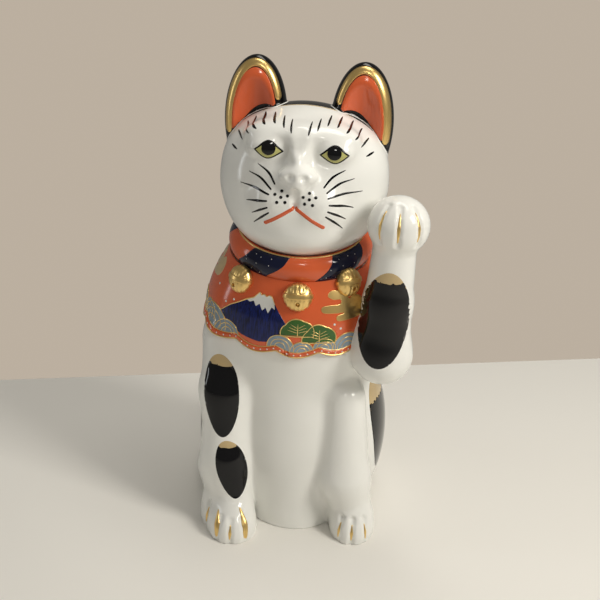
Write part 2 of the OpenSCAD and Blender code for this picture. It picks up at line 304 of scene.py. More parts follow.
ELBOW = np.array([49, -27, 111]) * BODY_STRETCH
SHOULDER = np.array([36, -14, 120]) * BODY_STRETCH
PAW = np.array([ELBOW[0] + 3, ELBOW[1] - 5, ARM_TOP - PAW_R])
WRIST = np.array([ELBOW[0] + 2, ELBOW[1] - 4, PAW[2] - 0.8 * PAW_R])
ARM = [
    (0, SHOULDER, ELBOW, 13.8, 14.5),
    (8, ELBOW, (ELBOW + WRIST) / 2, 15, 12.8),
    (4, (ELBOW + WRIST) / 2, WRIST, 12.8, 11.2),
    (3, PAW, PAW_R * np.array([1.02, 0.99, 0.99])),
]

FOOT_TOES = (-29, 3, 38)
# Each paw: the centre that its toes fan out from, its size, how steep its grooves start and
# end, and their turns, in degrees.
PAWS = {
    "front": (np.array([-25.5, -45.5, 3]) * BODY_STRETCH, 15.0, (44, -8), FOOT_TOES),
    "left hind": (np.array([41, -33, 3]) * BODY_STRETCH, 15.2, (46, -8), FOOT_TOES),
    "right hind": (np.array([-34, -33, 3]) * BODY_STRETCH, 15.0, (46, -8), FOOT_TOES),
    "raised": (PAW, PAW_R, (54, -24), (-39, 1, 45)),
}


def outward(side, rise):
    """A direction to one side of the front and above the level, in degrees."""
    s, r = math.radians(side), math.radians(rise)
    return np.array(
        [math.sin(s) * math.cos(r), -math.cos(s) * math.cos(r), math.sin(r)]
    )


def toe_grooves(paw, radius):
    centre, size, (start, end), toes = PAWS[paw]
    chain = np.linspace(start, end, 5)
    grooves = []
    for side in toes:
        points = [centre + outward(side, rise) * (size + 0.5) for rise in chain]
        grooves += [(2, a, b, radius, radius) for a, b in zip(points, points[1:])]
    return grooves


GROOVES = {paw: toe_grooves(paw, 1.3) for paw in PAWS}


def near_only(p, centre, size, field, otherwise):
    """Works out a field near a place only, where it matters."""
    near = ((p - np.asarray(centre, p.dtype)) ** 2).sum(-1) < (size * 2) ** 2
    d = np.full(p.shape[:-1], otherwise, p.dtype)
    if near.any():
        d[near] = field(p[near])
    return d


def grooves_of(paws):
    def cut(p):
        d = np.full(p.shape[:-1], 50.0, p.dtype)
        for paw in paws:
            centre, size, *_ = PAWS[paw]
            d = np.minimum(
                d,
                near_only(
                    p,
                    centre,
                    size,
                    lambda q, paw=paw: np.min([mass(q, m) for m in GROOVES[paw]], 0),
                    50.0,
                ),
            )
        return d

    return cut


FOOT_GROOVES = grooves_of(["front", "left hind", "right hind"])
PAW_GROOVES = grooves_of(["raised"])


def torso_form(p):
    return masses(p, BODY + [NECK])


def torso(p):
    return carve(torso_form(p), FOOT_GROOVES(p), 2)


def arm(p):
    return carve(masses(p, ARM), PAW_GROOVES(p), 1.6)


def skull(p):
    d = masses(p, HEAD)
    for m in EYE_SOCKETS:
        d = carve(d, mass(p, m), m[0])
    for m in EYEBALLS + NOSE:
        d = melt(d, mass(p, m), m[0])
    for m in NOSE_CUTS:
        d = carve(d, mass(p, m), m[0])
    return d


EAR_R = np.array([EAR_WIDTH / 32.4 * 16.5, 11, 32.5])
EAR_CENTRE = np.array([27.8 * HEAD_STRETCH[0], 5, EAR_TOP - 0.1 - EAR_R[2]])
PIT_R = EAR_R - (4, 0.5, 4.5)
PIT_CENTRE = EAR_CENTRE - (0, 14, 0)


def ears(p):
    q = np.stack([np.abs(p[..., 0]), p[..., 1], p[..., 2]], -1)
    return carve(egg(q, EAR_CENTRE, EAR_R), egg(q, PIT_CENTRE, PIT_R), 1.6)


def head(p):
    return melt(skull(p), ears(p), 1.6)


def solve_back(x, z):
    """The back of the torso at a place across and up."""
    y = np.array([[x, 90.0, z]])
    for _ in range(60):
        y[0, 1] -= 0.9 * float(torso_form(y)[0])
    return y[0, 1]


def tail_chain():
    low, high = node_box("tail")
    radius = 10.5
    centre, bend = ((low[0] + high[0]) / 2 + 14, (low[2] + high[2]) / 2 + 11), 27
    angles = np.radians(np.linspace(279, 156, 9))
    points = []
    for a in angles:
        x, z = centre[0] + bend * math.cos(a), centre[1] + bend * math.sin(a)
        points.append(np.array([x, solve_back(x, z) + radius * 0.3, z]))
    widths = np.linspace(radius, radius * 0.76, len(points))
    return [
        (1.5, a, b, ra, rb)
        for a, b, ra, rb in zip(points, points[1:], widths, widths[1:])
    ]


TAIL = tail_chain()


def tail(p):
    return masses(p, TAIL)


def chamber(p):
    """The hollow inside the body, and the vent hole in the foot."""
    hollow = egg(p, (0, 12, 46), (32, 30, 40))
    vent = np.maximum(np.hypot(p[..., 0], p[..., 1] - 12) - 7, np.abs(p[..., 2]) - 12)
    return melt(hollow, vent, 1)


def body(p):
    d = np.maximum(torso(p), p[..., 2] - NECK_Z)
    d = melt(melt(d, arm(p), 3), tail(p), 3)
    return np.maximum(np.maximum(d, -p[..., 2]), -chamber(p))


def painted_body(p):
    """The body's outside, for the painting."""
    return melt(melt(torso(p), arm(p), 3), tail(p), 3)


def bib_skin(p):
    """The outside of the bib, which hangs in soft folds."""
    turn = np.arctan2(p[..., 0], -p[..., 1])
    low = np.clip((NECK_Z - p[..., 2]) / 48, 0, 1)
    folds = 0.35 * low * np.sin(turn * 12 + 1.2) + 0.25 * low * np.sin(turn * 5)
    return torso_form(p) - 0.15 - sizes().bib_thick / MM - folds


def whole_head(p):
    return np.maximum(head(p), NECK_Z + 0.15 - p[..., 2])


# ---- Surfaces ----


def way_out(field, p, h=0.06):
    """Unit normals of a field, and how steep it is, at points."""
    g = np.stack([field(p + e) - field(p - e) for e in np.eye(3) * h], -1)
    size = np.linalg.norm(g, axis=-1)
    return g / np.maximum(size, 1e-9)[:, None], size / (2 * h)


def settle(field, start, way, steps=44):
    """Where rays from outside meet a surface.

    A ray that misses ends at the place where it passes closest.
    """
    p, best = start.copy(), start.copy()
    least = np.full(len(p), 1e9)
    for _ in range(steps):
        d = field(p)
        nearer = np.abs(d) < least
        best[nearer], least[nearer] = p[nearer], np.abs(d[nearer])
        p += way * (0.92 * d)[:, None]
    for _ in range(2):
        normals, steep = way_out(field, best)
        best -= normals * (field(best) / np.maximum(steep, 0.4))[:, None]
    return best


def cast(field, low, high, step):
    """Points, faces and normals of a field's surface, with fine samples near the surface only."""
    side = 8
    count = np.ceil((np.array(high) - low) / (step * side)).astype(int)
    centres = np.stack(
        np.meshgrid(
            *[
                low[i] + (np.arange(count[i]) + 0.5) * side * step - step / 2
                for i in range(3)
            ],
            indexing="ij",
        ),
        -1,
    ).astype(np.float32)
    rough = field(centres.reshape(-1, 3)).reshape(count)
    samples = np.kron(
        np.clip(rough, -3 * step, 3 * step), np.ones((side,) * 3, np.float32)
    )
    offsets = (np.indices((side,) * 3).reshape(3, -1).T * step).astype(np.float32)
    blocks = np.argwhere(np.abs(rough) < side * step * 1.5 + 2)
    corners = (np.array(low) + blocks * side * step).astype(np.float32)
    for first in range(0, len(blocks), 512):
        some = slice(first, first + 512)
        fine = field((corners[some, None] + offsets).reshape(-1, 3)).reshape(
            -1, side, side, side
        )
        for (i, j, k), values in zip(blocks[some] * side, fine):
            samples[i : i + side, j : j + side, k : k + side] = values
    samples = np.clip(samples, -3 * step, 3 * step).astype(np.float32)
    grid = vdb.FloatGrid(3 * step)
    grid.gridClass = vdb.GridClass.LEVEL_SET
    grid.copyFromArray(samples)
    points, quads = grid.convertToQuads(0.0)
    points = np.array(low) + points.astype(float) * step
    for _ in range(2):
        normals, steep = way_out(field, points)
        move = field(points) / np.maximum(steep, 0.3)
        points -= normals * np.clip(move, -step, step)[:, None]
    normals, _ = way_out(field, points)
    quads = quads.astype(int)
    a, b, c = (points[quads[:, i]] for i in (0, 1, 2))
    facing = (np.cross(b - a, c - a) * normals[quads[:, 0]]).sum(-1)
    if np.median(facing) < 0:
        quads = quads[:, ::-1]
    return points, quads, normals


def new_piece(name, points, faces, normals, finish):
    """A mesh piece of the figure, in metres, that rides on the body."""
    mesh = bpy.data.meshes.new(name)
    mesh.from_pydata(
        (np.asarray(points) * MM).tolist(), [], [list(map(int, f)) for f in faces]
    )
    mesh.materials.append(finish)
    mesh.shade_smooth()
    if normals is not None:
        mesh.normals_split_custom_set_from_vertices(np.asarray(normals).tolist())
    mesh.update()
    piece = bpy.data.objects.new(name, mesh)
    bpy.context.scene.collection.objects.link(piece)
    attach(piece, "root")
    return piece


def part_of(points, faces, normals, keep, sink=(0, 0, 0)):
    """The faces to keep, as a closed piece.

    Each open edge is closed with a fan, whose middle sinks into the figure.
    """
    faces = faces[keep]
    used, faces = np.unique(faces, return_inverse=True)
    faces = faces.reshape(-1, 4)
    points, normals = points[used], normals[used]
    edges = np.stack([faces, np.roll(faces, -1, 1)], -1).reshape(-1, 2)
    there = {(int(a), int(b)) for a, b in edges}
    after = {b: a for a, b in there if (b, a) not in there}
    caps = []
    extra_points, extra_normals = [], []
    while after:
        start, nxt = next(iter(after.items()))
        loop, here = [start], nxt
        del after[start]
        while here != start and here in after:
            loop.append(here)
            here = after.pop(here)
        middle = points[loop].mean(0) + sink
        centre = len(points) + len(extra_points)
        extra_points.append(middle)
        extra_normals.append(-normals[loop].mean(0))
        caps += [[a, b, centre] for a, b in zip(loop, loop[1:] + loop[:1])]
    if extra_points:
        points = np.vstack([points, extra_points])
        normals = np.vstack([normals, extra_normals])
    return points, [list(f) for f in faces] + caps, normals


# ---- Finishes ----


def new_finish(name):
    material = bpy.data.materials.new(name)
    material.use_nodes = True
    return material


def nodes_of(material):
    tree = material.node_tree
    return tree.nodes, tree.links, tree.nodes["Principled BSDF"]


def set_inputs(node, **values):
    """Sets a node's inputs; an underscore in a name stands for a space."""
    for name, value in values.items():
        node.inputs[name.replace("_", " ")].default_value = value
    return node


def noise_of(material, source, scale, detail):
    nodes, links, _ = nodes_of(material)
    noise = set_inputs(nodes.new("ShaderNodeTexNoise"), Scale=scale, Detail=detail)
    links.new(source, noise.inputs["Vector"])
    return noise.outputs["Fac"]


def tinted_by(material, noise, *stops):
    """Colours a finish by a noise, between two (position, tint) stops."""
    nodes, links, shader = nodes_of(material)
    ramp = nodes.new("ShaderNodeValToRGB")
    for element, (position, tint) in zip(ramp.color_ramp.elements, stops):
        element.position = position
        element.color = (*tint, 1)
    links.new(noise, ramp.inputs["Fac"])
    links.new(ramp.outputs["Color"], shader.inputs["Base Color"])


def bumped_by(material, noise, strength, distance):
    nodes, links, shader = nodes_of(material)
    bump = set_inputs(nodes.new("ShaderNodeBump"), Strength=strength, Distance=distance)
    links.new(noise, bump.inputs["Height"])
    links.new(bump.outputs["Normal"], shader.inputs["Normal"])


def shaded(tint, share):
    """A colour times a share, no channel above full."""
    return [min(1.0, c * share) for c in tint]


def glaze(name, tint, rough=0.07, wave=0.25, mottle=0.05, wave_scale=55.0, shine=0.3):
    """Fired glaze or enamel.

    Its colour clouds faintly, and its surface has the soft unevenness of one that flowed.
    """
    if name in bpy.data.materials:
        return bpy.data.materials[name]
    material = new_finish(name)
    nodes, _, shader = nodes_of(material)
    place = nodes.new("ShaderNodeTexCoord").outputs["Object"]
    dark, light = shaded(tint, 1 - mottle * 2.5), shaded(tint, 1 + mottle)
    cloud = noise_of(material, place, 38.0, 5.0)
    tinted_by(material, cloud, (0.3, dark), (0.7, light))
    flow = noise_of(material, place, wave_scale, 1.5)
    bumped_by(material, flow, wave, 0.0006)
    set_inputs(
        shader,
        Roughness=rough,
        IOR=1.5,
        Specular_IOR_Level=shine,
        Coat_Weight=shine / 3,
        Coat_Roughness=0.03,
    )
    return material


def porcelain():
    return glaze("porcelain", colours().porcelain, 0.07, 0.3, 0.02, 48.0, 0.8)


def brushed_blue():
    """Blue enamel laid on in upright brush strokes."""
    if "blue_enamel" in bpy.data.materials:
        return bpy.data.materials["blue_enamel"]
    tint = colours().cobalt
    material = glaze("blue_enamel", tint, 0.08, 0.2, 0.3)
    nodes, links, _ = nodes_of(material)
    place = nodes.new("ShaderNodeTexCoord")
    along = set_inputs(
        nodes.new("ShaderNodeMapping"), Scale=(1400, 1400, 130), Rotation=(0, -0.35, 0)
    )
    links.new(place.outputs["Object"], along.inputs["Vector"])
    streaks = noise_of(material, along.outputs["Vector"], 1.0, 3.0)
    tinted_by(
        material, streaks, (0.35, shaded(tint, 0.35)), (0.68, shaded(tint, 1.7))
    )
    return material


def gilding():
    """Bright fired gold, brushed on by hand, so a little streaky and thin in places."""
    if "gilding" in bpy.data.materials:
        return bpy.data.materials["gilding"]
    material = new_finish("gilding")
    nodes, links, shader = nodes_of(material)
    place = nodes.new("ShaderNodeTexCoord").outputs["Object"]
    wear = noise_of(material, place, 420.0, 4.0)
    tint = colours().gold
    tinted_by(material, wear, (0.3, shaded(tint, 0.62)), (0.6, tint))
    rough = set_inputs(nodes.new("ShaderNodeMapRange"), To_Min=0.07, To_Max=0.24)
    links.new(wear, rough.inputs["Value"])
    links.new(rough.outputs["Result"], shader.inputs["Roughness"])
    bumped_by(material, wear, 0.35, 0.0002)
    shader.inputs["Metallic"].default_value = 1.0
    return material


def enamel(slot):
    """The finish of a material slot of the record."""
    c = colours()
    if slot == "porcelain":
        return porcelain()
    if slot == "gilding":
        return gilding()
    if slot == "blue_enamel":
        return brushed_blue()
    if slot == "navy_enamel":
        return glaze("navy_enamel", c.navy, 0.06, 0.15, 0.2)
    tint = {
        "red_enamel": c.red,
        "green_enamel": c.green,
        "wave_enamel": c.wave,
        "white_enamel": c.white,
        "yellow_enamel": c.yellow,
        "tan_enamel": c.tan,
        "black_enamel": c.black,
    }[slot]
    return glaze(slot, tint, 0.07, 0.15, 0.07)


# ---- Painting ----


def front_of(field, start_y=-85.0):
    """Lays (across, up) on a surface, seen from the front."""

    def lay(uv):
        start = np.stack([uv[:, 0], np.full(len(uv), start_y), uv[:, 1]], -1)
        p = settle(field, start, np.tile([0.0, 1.0, 0.0], (len(uv), 1)))
        return p, way_out(field, p)[0]

    return lay


ROUND_R = 45.0


def round_of(field):
    """Lays (along, up) round the body.

    Along is measured on a cylinder, from the front to the cat's left.
    """

    def lay(uv):
        turn = uv[:, 0] / ROUND_R
        way = np.stack([np.sin(turn), -np.cos(turn), np.zeros(len(uv))], -1)
        start = way * 85 + np.stack([0 * turn, 0 * turn, uv[:, 1]], -1)
        p = settle(field, start, -way)
        return p, way_out(field, p)[0]

    return lay


BALL_R = 40.0


def away_from(field, centre, aim, spread=BALL_R):
    """Lays (right, up) on a surface seen from outside along a direction.

    Distances are angles on a ball with the spread as its radius.
    """
    aim = np.array(aim, float) / np.linalg.norm(aim)
    right = np.cross((0, 0, 1), aim)
    right /= np.linalg.norm(right)
    up = np.cross(aim, right)

    def lay(uv):
        far = np.hypot(uv[:, 0], uv[:, 1])
        turn = far / spread
        side = (uv[:, :1] * right + uv[:, 1:] * up) / np.maximum(far, 1e-6)[:, None]
        way = np.cos(turn)[:, None] * aim + np.sin(turn)[:, None] * side
        p = settle(field, np.array(centre) + way * 80, -way)
        return p, way_out(field, p)[0]

    return lay


def collar_point(turn, roll):
    """Points of the rolled collar and their normals, by the angles round the neck and the roll."""
    squash = 1.0 + 0.06 * np.cos(2 * roll)
    out = (COLLAR_THICK / 2) * squash * np.cos(roll)
    lift = (COLLAR_TALL / 2) * np.sin(roll)
    n_out = np.cos(roll) / (COLLAR_THICK / 2)
    n_up = np.sin(roll) / (COLLAR_TALL / 2)
    size = np.hypot(n_out, n_up)
    n_out, n_up = n_out / size, n_up / size
    r = COLLAR_R + out
    ring = np.stack([np.sin(turn) * r, -np.cos(turn) * r, lift], -1)
    normal = np.stack([np.sin(turn) * n_out, -np.cos(turn) * n_out, n_up], -1)
    c, s = math.cos(COLLAR_TILT), math.sin(COLLAR_TILT)
    tilt = np.array([[1, 0, 0], [0, c, -s], [0, s, c]])
    return ring @ tilt.T + (0, 0, COLLAR_Z), normal @ tilt.T


def on_collar(uv):
    """Lays (along, up the roll) on the collar; up is 0 at the middle of its outside."""
    return collar_point(uv[:, 0] / COLLAR_R, uv[:, 1] / 6.6)


def smooth_line(points, step, closed=False):
    """A smooth curve through points, evenly stepped."""
    p = np.asarray(points, float)
    if closed:
        p = np.vstack([p[-1], p, p[0], p[1]])
    else:
        p = np.vstack([2 * p[0] - p[1], p, 2 * p[-1] - p[-2]])
    line = []
    for a, b, c, d in zip(p, p[1:], p[2:], p[3:]):
        count = max(1, int(np.ceil(np.linalg.norm(c - b) / step)))
        for t in np.arange(count) / count:
            line.append(
                0.5
                * (
                    2 * b
                    + (c - a) * t
                    + (2 * a - 5 * b + 4 * c - d) * t * t
                    + (3 * b - a - 3 * c + d) * t**3
                )
            )
    if not closed:
        line.append(p[-2])
    return np.array(line)


def straight_line(points, step):
    """A closed line with its corners kept, evenly stepped between them."""
    p = np.asarray(points, float)
    line = []
    for a, b in zip(p, np.roll(p, -1, 0)):
        count = max(1, int(np.ceil(np.linalg.norm(b - a) / step)))
        line += [a + (b - a) * t for t in np.arange(count) / count]
    return np.array(line)


def from_line(points, line):
    """How far points lie from a closed line."""
    a, b = line, np.roll(line, -1, 0)
    ab = b - a
    best = np.full(len(points), 1e9)
    for p0, d in zip(a, ab):
        t = np.clip(((points - p0) @ d) / max(d @ d, 1e-12), 0, 1)
        best = np.minimum(best, np.linalg.norm(points - p0 - t[:, None] * d, axis=1))
    return best


def inside(points, line):
    x, y = points[:, 0], points[:, 1]
    found = np.zeros(len(points), bool)
    for (x0, y0), (x1, y1) in zip(line, np.roll(line, -1, 0)):
        crosses = (y0 > y) != (y1 > y)
        with np.errstate(divide="ignore", invalid="ignore"):
            found ^= crosses & (x < (x1 - x0) * (y - y0) / (y1 - y0) + x0)
    return found


def sideways(along):
    """Unit vectors to the left of a line, from the way that it runs at each point."""
    along = along / np.maximum(np.linalg.norm(along, axis=1), 1e-9)[:, None]
    return np.stack([-along[:, 1], along[:, 0]], -1)


def ring_faces(rows, cols):
    """Faces of a closed ring of cols sections, each a closed line of rows points."""
    return [
        [
            j * rows + i,
            j * rows + (i + 1) % rows,
            ((j + 1) % cols) * rows + (i + 1) % rows,
            ((j + 1) % cols) * rows + i,
        ]
        for j in range(cols)
        for i in range(rows)
    ]


def round_along(line):
    """The way that a closed line runs at each point."""
    return np.roll(line, -1, 0) - np.roll(line, 1, 0)


class Paint:
    """Strokes and areas of enamel or gold on one surface.

    Each is closed, and sunk a little into the glaze.
    """

    SUNK = -0.25
    # How wide an area's rounded edge is.
    EDGE = 0.3
    # Across a line: its place, as a share of half the width, and its height, as a share of the top.
    # None is sunk.
    PROFILE = [(1, None), (1, 0), (0.6, 0.8), (0, 1), (-0.6, 0.8), (-1, 0), (-1, None)]

    def __init__(self, lay, height):
        self.lay, self.height = lay, height
        self.uv, self.rise, self.flat, self.faces = [], [], [], []
        self.count = 0

    def add(self, uv, rise, flat, faces):
        self.faces += [[i + self.count for i in f] for f in faces]
        self.uv.append(np.asarray(uv, float))
        self.rise.append(np.asarray(rise, float))
        self.flat.append(np.asarray(flat, float))
        self.count += len(uv)

    def area(self, outline, gap=1.3, height=None):
        """Fills an outline that runs anticlockwise or clockwise."""
        top = self.height if height is None else height
        line = np.asarray(outline, float)
        turn = np.roll(line, -1, 0)
        if (line[:, 0] * turn[:, 1] - line[:, 1] * turn[:, 0]).sum() < 0:
            line = line[::-1]
        low, high = line.min(0), line.max(0)
        grid = np.stack(
            np.meshgrid(
                np.arange(low[0], high[0], gap), np.arange(low[1], high[1], gap * 0.87)
            ),
            -1,
        )
        grid[1::2, :, 0] += gap / 2
        grid = grid.reshape(-1, 2)
        grid = grid[inside(grid, line)]
        if len(grid):
            grid = grid[from_line(grid, line) > 0.75 * gap]
        inset = line + sideways(round_along(line)) * self.EDGE
        inset = inset[inside(inset, line)]
        if len(inset):
            inset = inset[from_line(inset, line) > 0.22]
        points = np.vstack([line, inset, grid]) if len(grid) or len(inset) else line
        n = len(line)
        found, _, faces, *_ = delaunay_2d_cdt(
            [Vector(p) for p in points],
            [(i, (i + 1) % n) for i in range(n)],
            [],
            1,
            1e-5,
        )
        uv = np.array([tuple(v) for v in found])
        far = np.minimum(from_line(uv, line) / self.EDGE, 1)
        rise = top * np.sqrt(np.maximum(1 - (1 - far) ** 2, 0))
        count = len(uv)
        faces = [list(f) for f in faces]
        there = {(a, b) for f in faces for a, b in zip(f, f[1:] + f[:1])}
        sides = [
            [b, a, a + count, b + count] for a, b in there if (b, a) not in there
        ]
        floor = [[i + count for i in reversed(f)] for f in faces]
        self.add(
            np.vstack([uv, uv]),
            np.concatenate([rise, np.full(count, self.SUNK)]),
            np.concatenate([far > 0.9, np.zeros(count)]),
            faces + floor + sides,
        )

    def stroke(self, points, width, taper=(1, 1), step=0.7, height=None, line=None):
        """A brush stroke with round ends; taper is the width at its ends as shares of its width."""
        top = self.height if height is None else height
        path = smooth_line(points, step) if line is None else line
        run = np.concatenate(
            [[0], np.cumsum(np.linalg.norm(np.diff(path, axis=0), axis=1))]
        )
        total = run[-1]
        ends = min(width / 2, total / 3)
        curve = ends * (1 - np.cos(np.radians([4, 25, 50, 75])))
        spots = np.concatenate(
            [
                curve,
                np.linspace(ends, total - ends, max(2, int(total / step))),
                total - curve[::-1],
            ]
        )
        centre = np.stack([np.interp(spots, run, path[:, i]) for i in (0, 1)], -1)
        side = sideways(np.gradient(centre, axis=0))
        share = spots / total
        wide = np.interp(share, [0, 0.45, 1], [taper[0], 1, taper[1]]) * width / 2
        near = np.minimum(np.minimum(spots, total - spots) / max(ends, 1e-6), 1)
        wide = wide * np.sqrt(np.maximum(1 - (1 - near) ** 2, 0.01))
        rings = len(self.PROFILE)
        uv, rise = [], []
        for c, s, w, e in zip(centre, side, wide, near):
            for across, up in self.PROFILE:
                uv.append(c + s * w * across)
                rise.append(
                    self.SUNK
                    if up is None
                    else top * up * min(1, 0.4 + e, 2.2 * w / max(top, 1e-6) + 0.2)
                )
        faces = []
        for i in range(len(centre) - 1):
            for j in range(rings):
                a, b = i * rings + j, i * rings + (j + 1) % rings
                faces.append([a, b, b + rings, a + rings])
        faces.append(list(reversed(range(rings))))
        last = (len(centre) - 1) * rings
        faces.append([last + j for j in range(rings)])
        self.add(uv, rise, np.zeros(len(uv)), faces)

    def loop(self, outline, width, height=None):
        """A line of even width round an outline."""
        top = self.height if height is None else height
        line = np.asarray(outline, float)
        side = sideways(round_along(line))
        rings, n = len(self.PROFILE), len(line)
        uv = [
            c + s * width / 2 * a for c, s in zip(line, side) for a, _ in self.PROFILE
        ]
        rise = [
            self.SUNK if u is None else top * u for _ in line for _, u in self.PROFILE
        ]
        faces = ring_faces(rings, n)
        self.add(uv, rise, np.zeros(len(uv)), faces)

    def dry(self, name, slot, slot_name=None):
        """Lays the paint on its surface and makes one piece of it."""
        uv, rise, flat = map(np.concatenate, (self.uv, self.rise, self.flat))
        points, normals = self.lay(uv)
        points = points + normals * rise[:, None]
        piece = new_piece(name, points, self.faces, None, enamel(slot))
        own = np.zeros(len(points) * 3)
        piece.data.vertex_normals.foreach_get("vector", own)
        mixed = np.where(flat[:, None] > 0.5, normals, own.reshape(-1, 3))
        piece.data.normals_split_custom_set_from_vertices(mixed.tolist())
        return piece


def enamel_height():
    return sizes().enamel / MM


def both_sides(points):
    """Points (across, up) and their mirror image."""
    p = np.array(points, float)
    return [p, p * (-1, 1)]


# ---- Dots: a Geometry Nodes tree sets a bead of enamel on each place ----


def dot_tree():
    if "dots_of_enamel" in bpy.data.node_groups:
        return bpy.data.node_groups["dots_of_enamel"]
    tree = bpy.data.node_groups.new("dots_of_enamel", "GeometryNodeTree")
    socket = tree.interface.new_socket
    socket("Geometry", in_out="INPUT", socket_type="NodeSocketGeometry")
    across = socket("Diameter", in_out="INPUT", socket_type="NodeSocketFloat")
    across.default_value = 0.001
    socket("Finish", in_out="INPUT", socket_type="NodeSocketMaterial")
    socket("Geometry", in_out="OUTPUT", socket_type="NodeSocketGeometry")
    n, link = tree.nodes, tree.links.new
    given, made = n.new("NodeGroupInput"), n.new("NodeGroupOutput")
    ball = n.new("GeometryNodeMeshUVSphere")
    ball.inputs["Segments"].default_value = 12
    ball.inputs["Rings"].default_value = 8
    ball.inputs["Radius"].default_value = 0.5
    flat = n.new("GeometryNodeTransform")
    flat.inputs["Scale"].default_value = (1, 1, 0.42)
    facing = n.new("GeometryNodeInputNamedAttribute")
    facing.data_type = "FLOAT_VECTOR"
    facing.inputs["Name"].default_value = "facing"
    share = n.new("GeometryNodeInputNamedAttribute")
    share.data_type = "FLOAT"
    share.inputs["Name"].default_value = "share"
    turn = n.new("FunctionNodeAlignEulerToVector")
    turn.axis = "Z"
    size = n.new("ShaderNodeMath")
    size.operation = "MULTIPLY"
    spots = n.new("GeometryNodeMeshToPoints")
    put = n.new("GeometryNodeInstanceOnPoints")
    real = n.new("GeometryNodeRealizeInstances")
    smooth = n.new("GeometryNodeSetShadeSmooth")
    finish = n.new("GeometryNodeSetMaterial")
    for source, out, target, into in (
        (given, "Geometry", spots, "Mesh"),
        (spots, "Points", put, "Points"),
        (ball, "Mesh", flat, "Geometry"),
        (flat, "Geometry", put, "Instance"),
        (facing, "Attribute", turn, "Vector"),
        (turn, "Rotation", put, "Rotation"),
        (share, "Attribute", size, 0),
        (given, "Diameter", size, 1),
        (size, "Value", put, "Scale"),
        (put, "Instances", real, "Geometry"),
        (real, "Geometry", smooth, "Geometry"),
        (smooth, "Geometry", finish, "Geometry"),
        (given, "Finish", finish, "Material"),
        (finish, "Geometry", made, "Geometry"),
    ):
        link(source.outputs[out], target.inputs[into])
    return tree


def dots(name, places, slot, diameter):
    """A piece of beads of enamel.

    Places is a list of (lay, [(u, v, share of the diameter), ...]).
    """
    points, normals, shares = [], [], []
    for lay, spots in places:
        spots = np.array(spots, float)
        p, n = lay(spots[:, :2])
        points.append(p)
        normals.append(n)
        shares.append(spots[:, 2])
    points, normals, shares = map(np.concatenate, (points, normals, shares))
    mesh = bpy.data.meshes.new(name)
    mesh.from_pydata((points * MM).tolist(), [], [])
    mesh.attributes.new("facing", "FLOAT_VECTOR", "POINT").data.foreach_set(
        "vector", normals.astype(np.float32).ravel()
    )
    mesh.attributes.new("share", "FLOAT", "POINT").data.foreach_set(
        "value", shares.astype(np.float32)
    )
    carrier = bpy.data.objects.new(name + "_places", mesh)
    bpy.context.scene.collection.objects.link(carrier)
    modifier = carrier.modifiers.new("dots", "NODES")
    tree = dot_tree()
    modifier.node_group = tree
    names = {s.name: s.identifier for s in tree.interface.items_tree}
    modifier[names["Diameter"]] = diameter * MM
    modifier[names["Finish"]] = enamel(slot)
    bpy.context.view_layer.update()
    seen = carrier.evaluated_get(bpy.context.evaluated_depsgraph_get())
    made = bpy.data.meshes.new_from_object(seen)
    made.name = name
    bpy.data.objects.remove(carrier)
    piece = bpy.data.objects.new(name, made)
    bpy.context.scene.collection.objects.link(piece)
    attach(piece, "root")
    return piece


# ---- Castings ----


def even_seam(points, quads, chosen, between, field):
    """Moves the points between two parts onto one smooth seam."""
    seam = np.intersect1d(quads[chosen], quads[~chosen])
    p = points[seam]
    for _ in range(3):
        way, steep = way_out(between, p)
        p -= way * np.clip(between(p) / np.maximum(steep, 0.2), -0.5, 0.5)[:, None]
        way, steep = way_out(field, p)
        p -= way * (field(p) / np.maximum(steep, 0.4))[:, None]
    points = points.copy()
    points[seam] = p
    normals, _ = way_out(field, points)
    return points, normals


def make_castings():
    step = sizes().body_grid / MM * 1
    points, quads, normals = cast(body, (-60, -66, -3), (72, 70, 206), step)
    middle = points[quads].mean(1)
    own = np.stack([torso(middle), arm(middle), tail(middle)])
    which = own.argmin(0)
    for i, name in enumerate(("torso", "raised_arm", "tail")):
        piece = new_piece(
            name + "_casting",
            *part_of(points, quads, normals, which == i),
            enamel("porcelain"),
        )
        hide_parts(name)


def make_head():
    step = sizes().head_grid / MM * 1
    points, quads, normals = cast(
        whole_head, (-49, -52, NECK_Z - 3), (49, 41, EAR_TOP + 3), step
    )
    middle = points[quads].mean(1)
    ear = (ears(middle) < skull(middle)) & (middle[:, 2] > NECK_Z + 40)
    points, normals = even_seam(
        points, quads, ear, lambda p: ears(p) - skull(p), whole_head
    )
    for name, keep, slot in (
        ("head", ~ear, "porcelain"),
        ("right_ear", ear & (middle[:, 0] < 0), "black_enamel"),
        ("left_ear", ear & (middle[:, 0] > 0), "black_enamel"),
    ):
        piece = new_piece(
            name + "_casting",
            *part_of(points, quads, normals, keep, (0, 0, -14)),
            enamel(slot),
        )
        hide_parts(name)


# ---- Collar and bib ----


def grid_piece(name, points, normals, rows, cols, slot):
    """A closed ring of sections."""
    faces = [
        [
            j * rows + i,
            ((j + 1) % cols) * rows + i,
            ((j + 1) % cols) * rows + (i + 1) % rows,
            j * rows + (i + 1) % rows,
        ]
        for j in range(cols)
        for i in range(rows)
    ]
    piece = new_piece(name, points, faces, normals, enamel(slot))
    return piece


def make_collar():
    cols, rows = 200, 40
    turn, roll = np.meshgrid(
        np.arange(cols) / cols * 2 * math.pi,
        np.arange(rows) / rows * 2 * math.pi,
        indexing="ij",
    )
    points, normals = collar_point(turn.ravel(), roll.ravel())
    piece = grid_piece("collar_roll", points, normals, rows, cols, "red_enamel")
    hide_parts("collar")


COLLAR_ROUND = 2 * math.pi * COLLAR_R
COLLAR_BLOCKS = 5
BODY_ROUND = 2 * math.pi * ROUND_R
HEM_FRONT = 113.0
HEM_RISE = 14.0


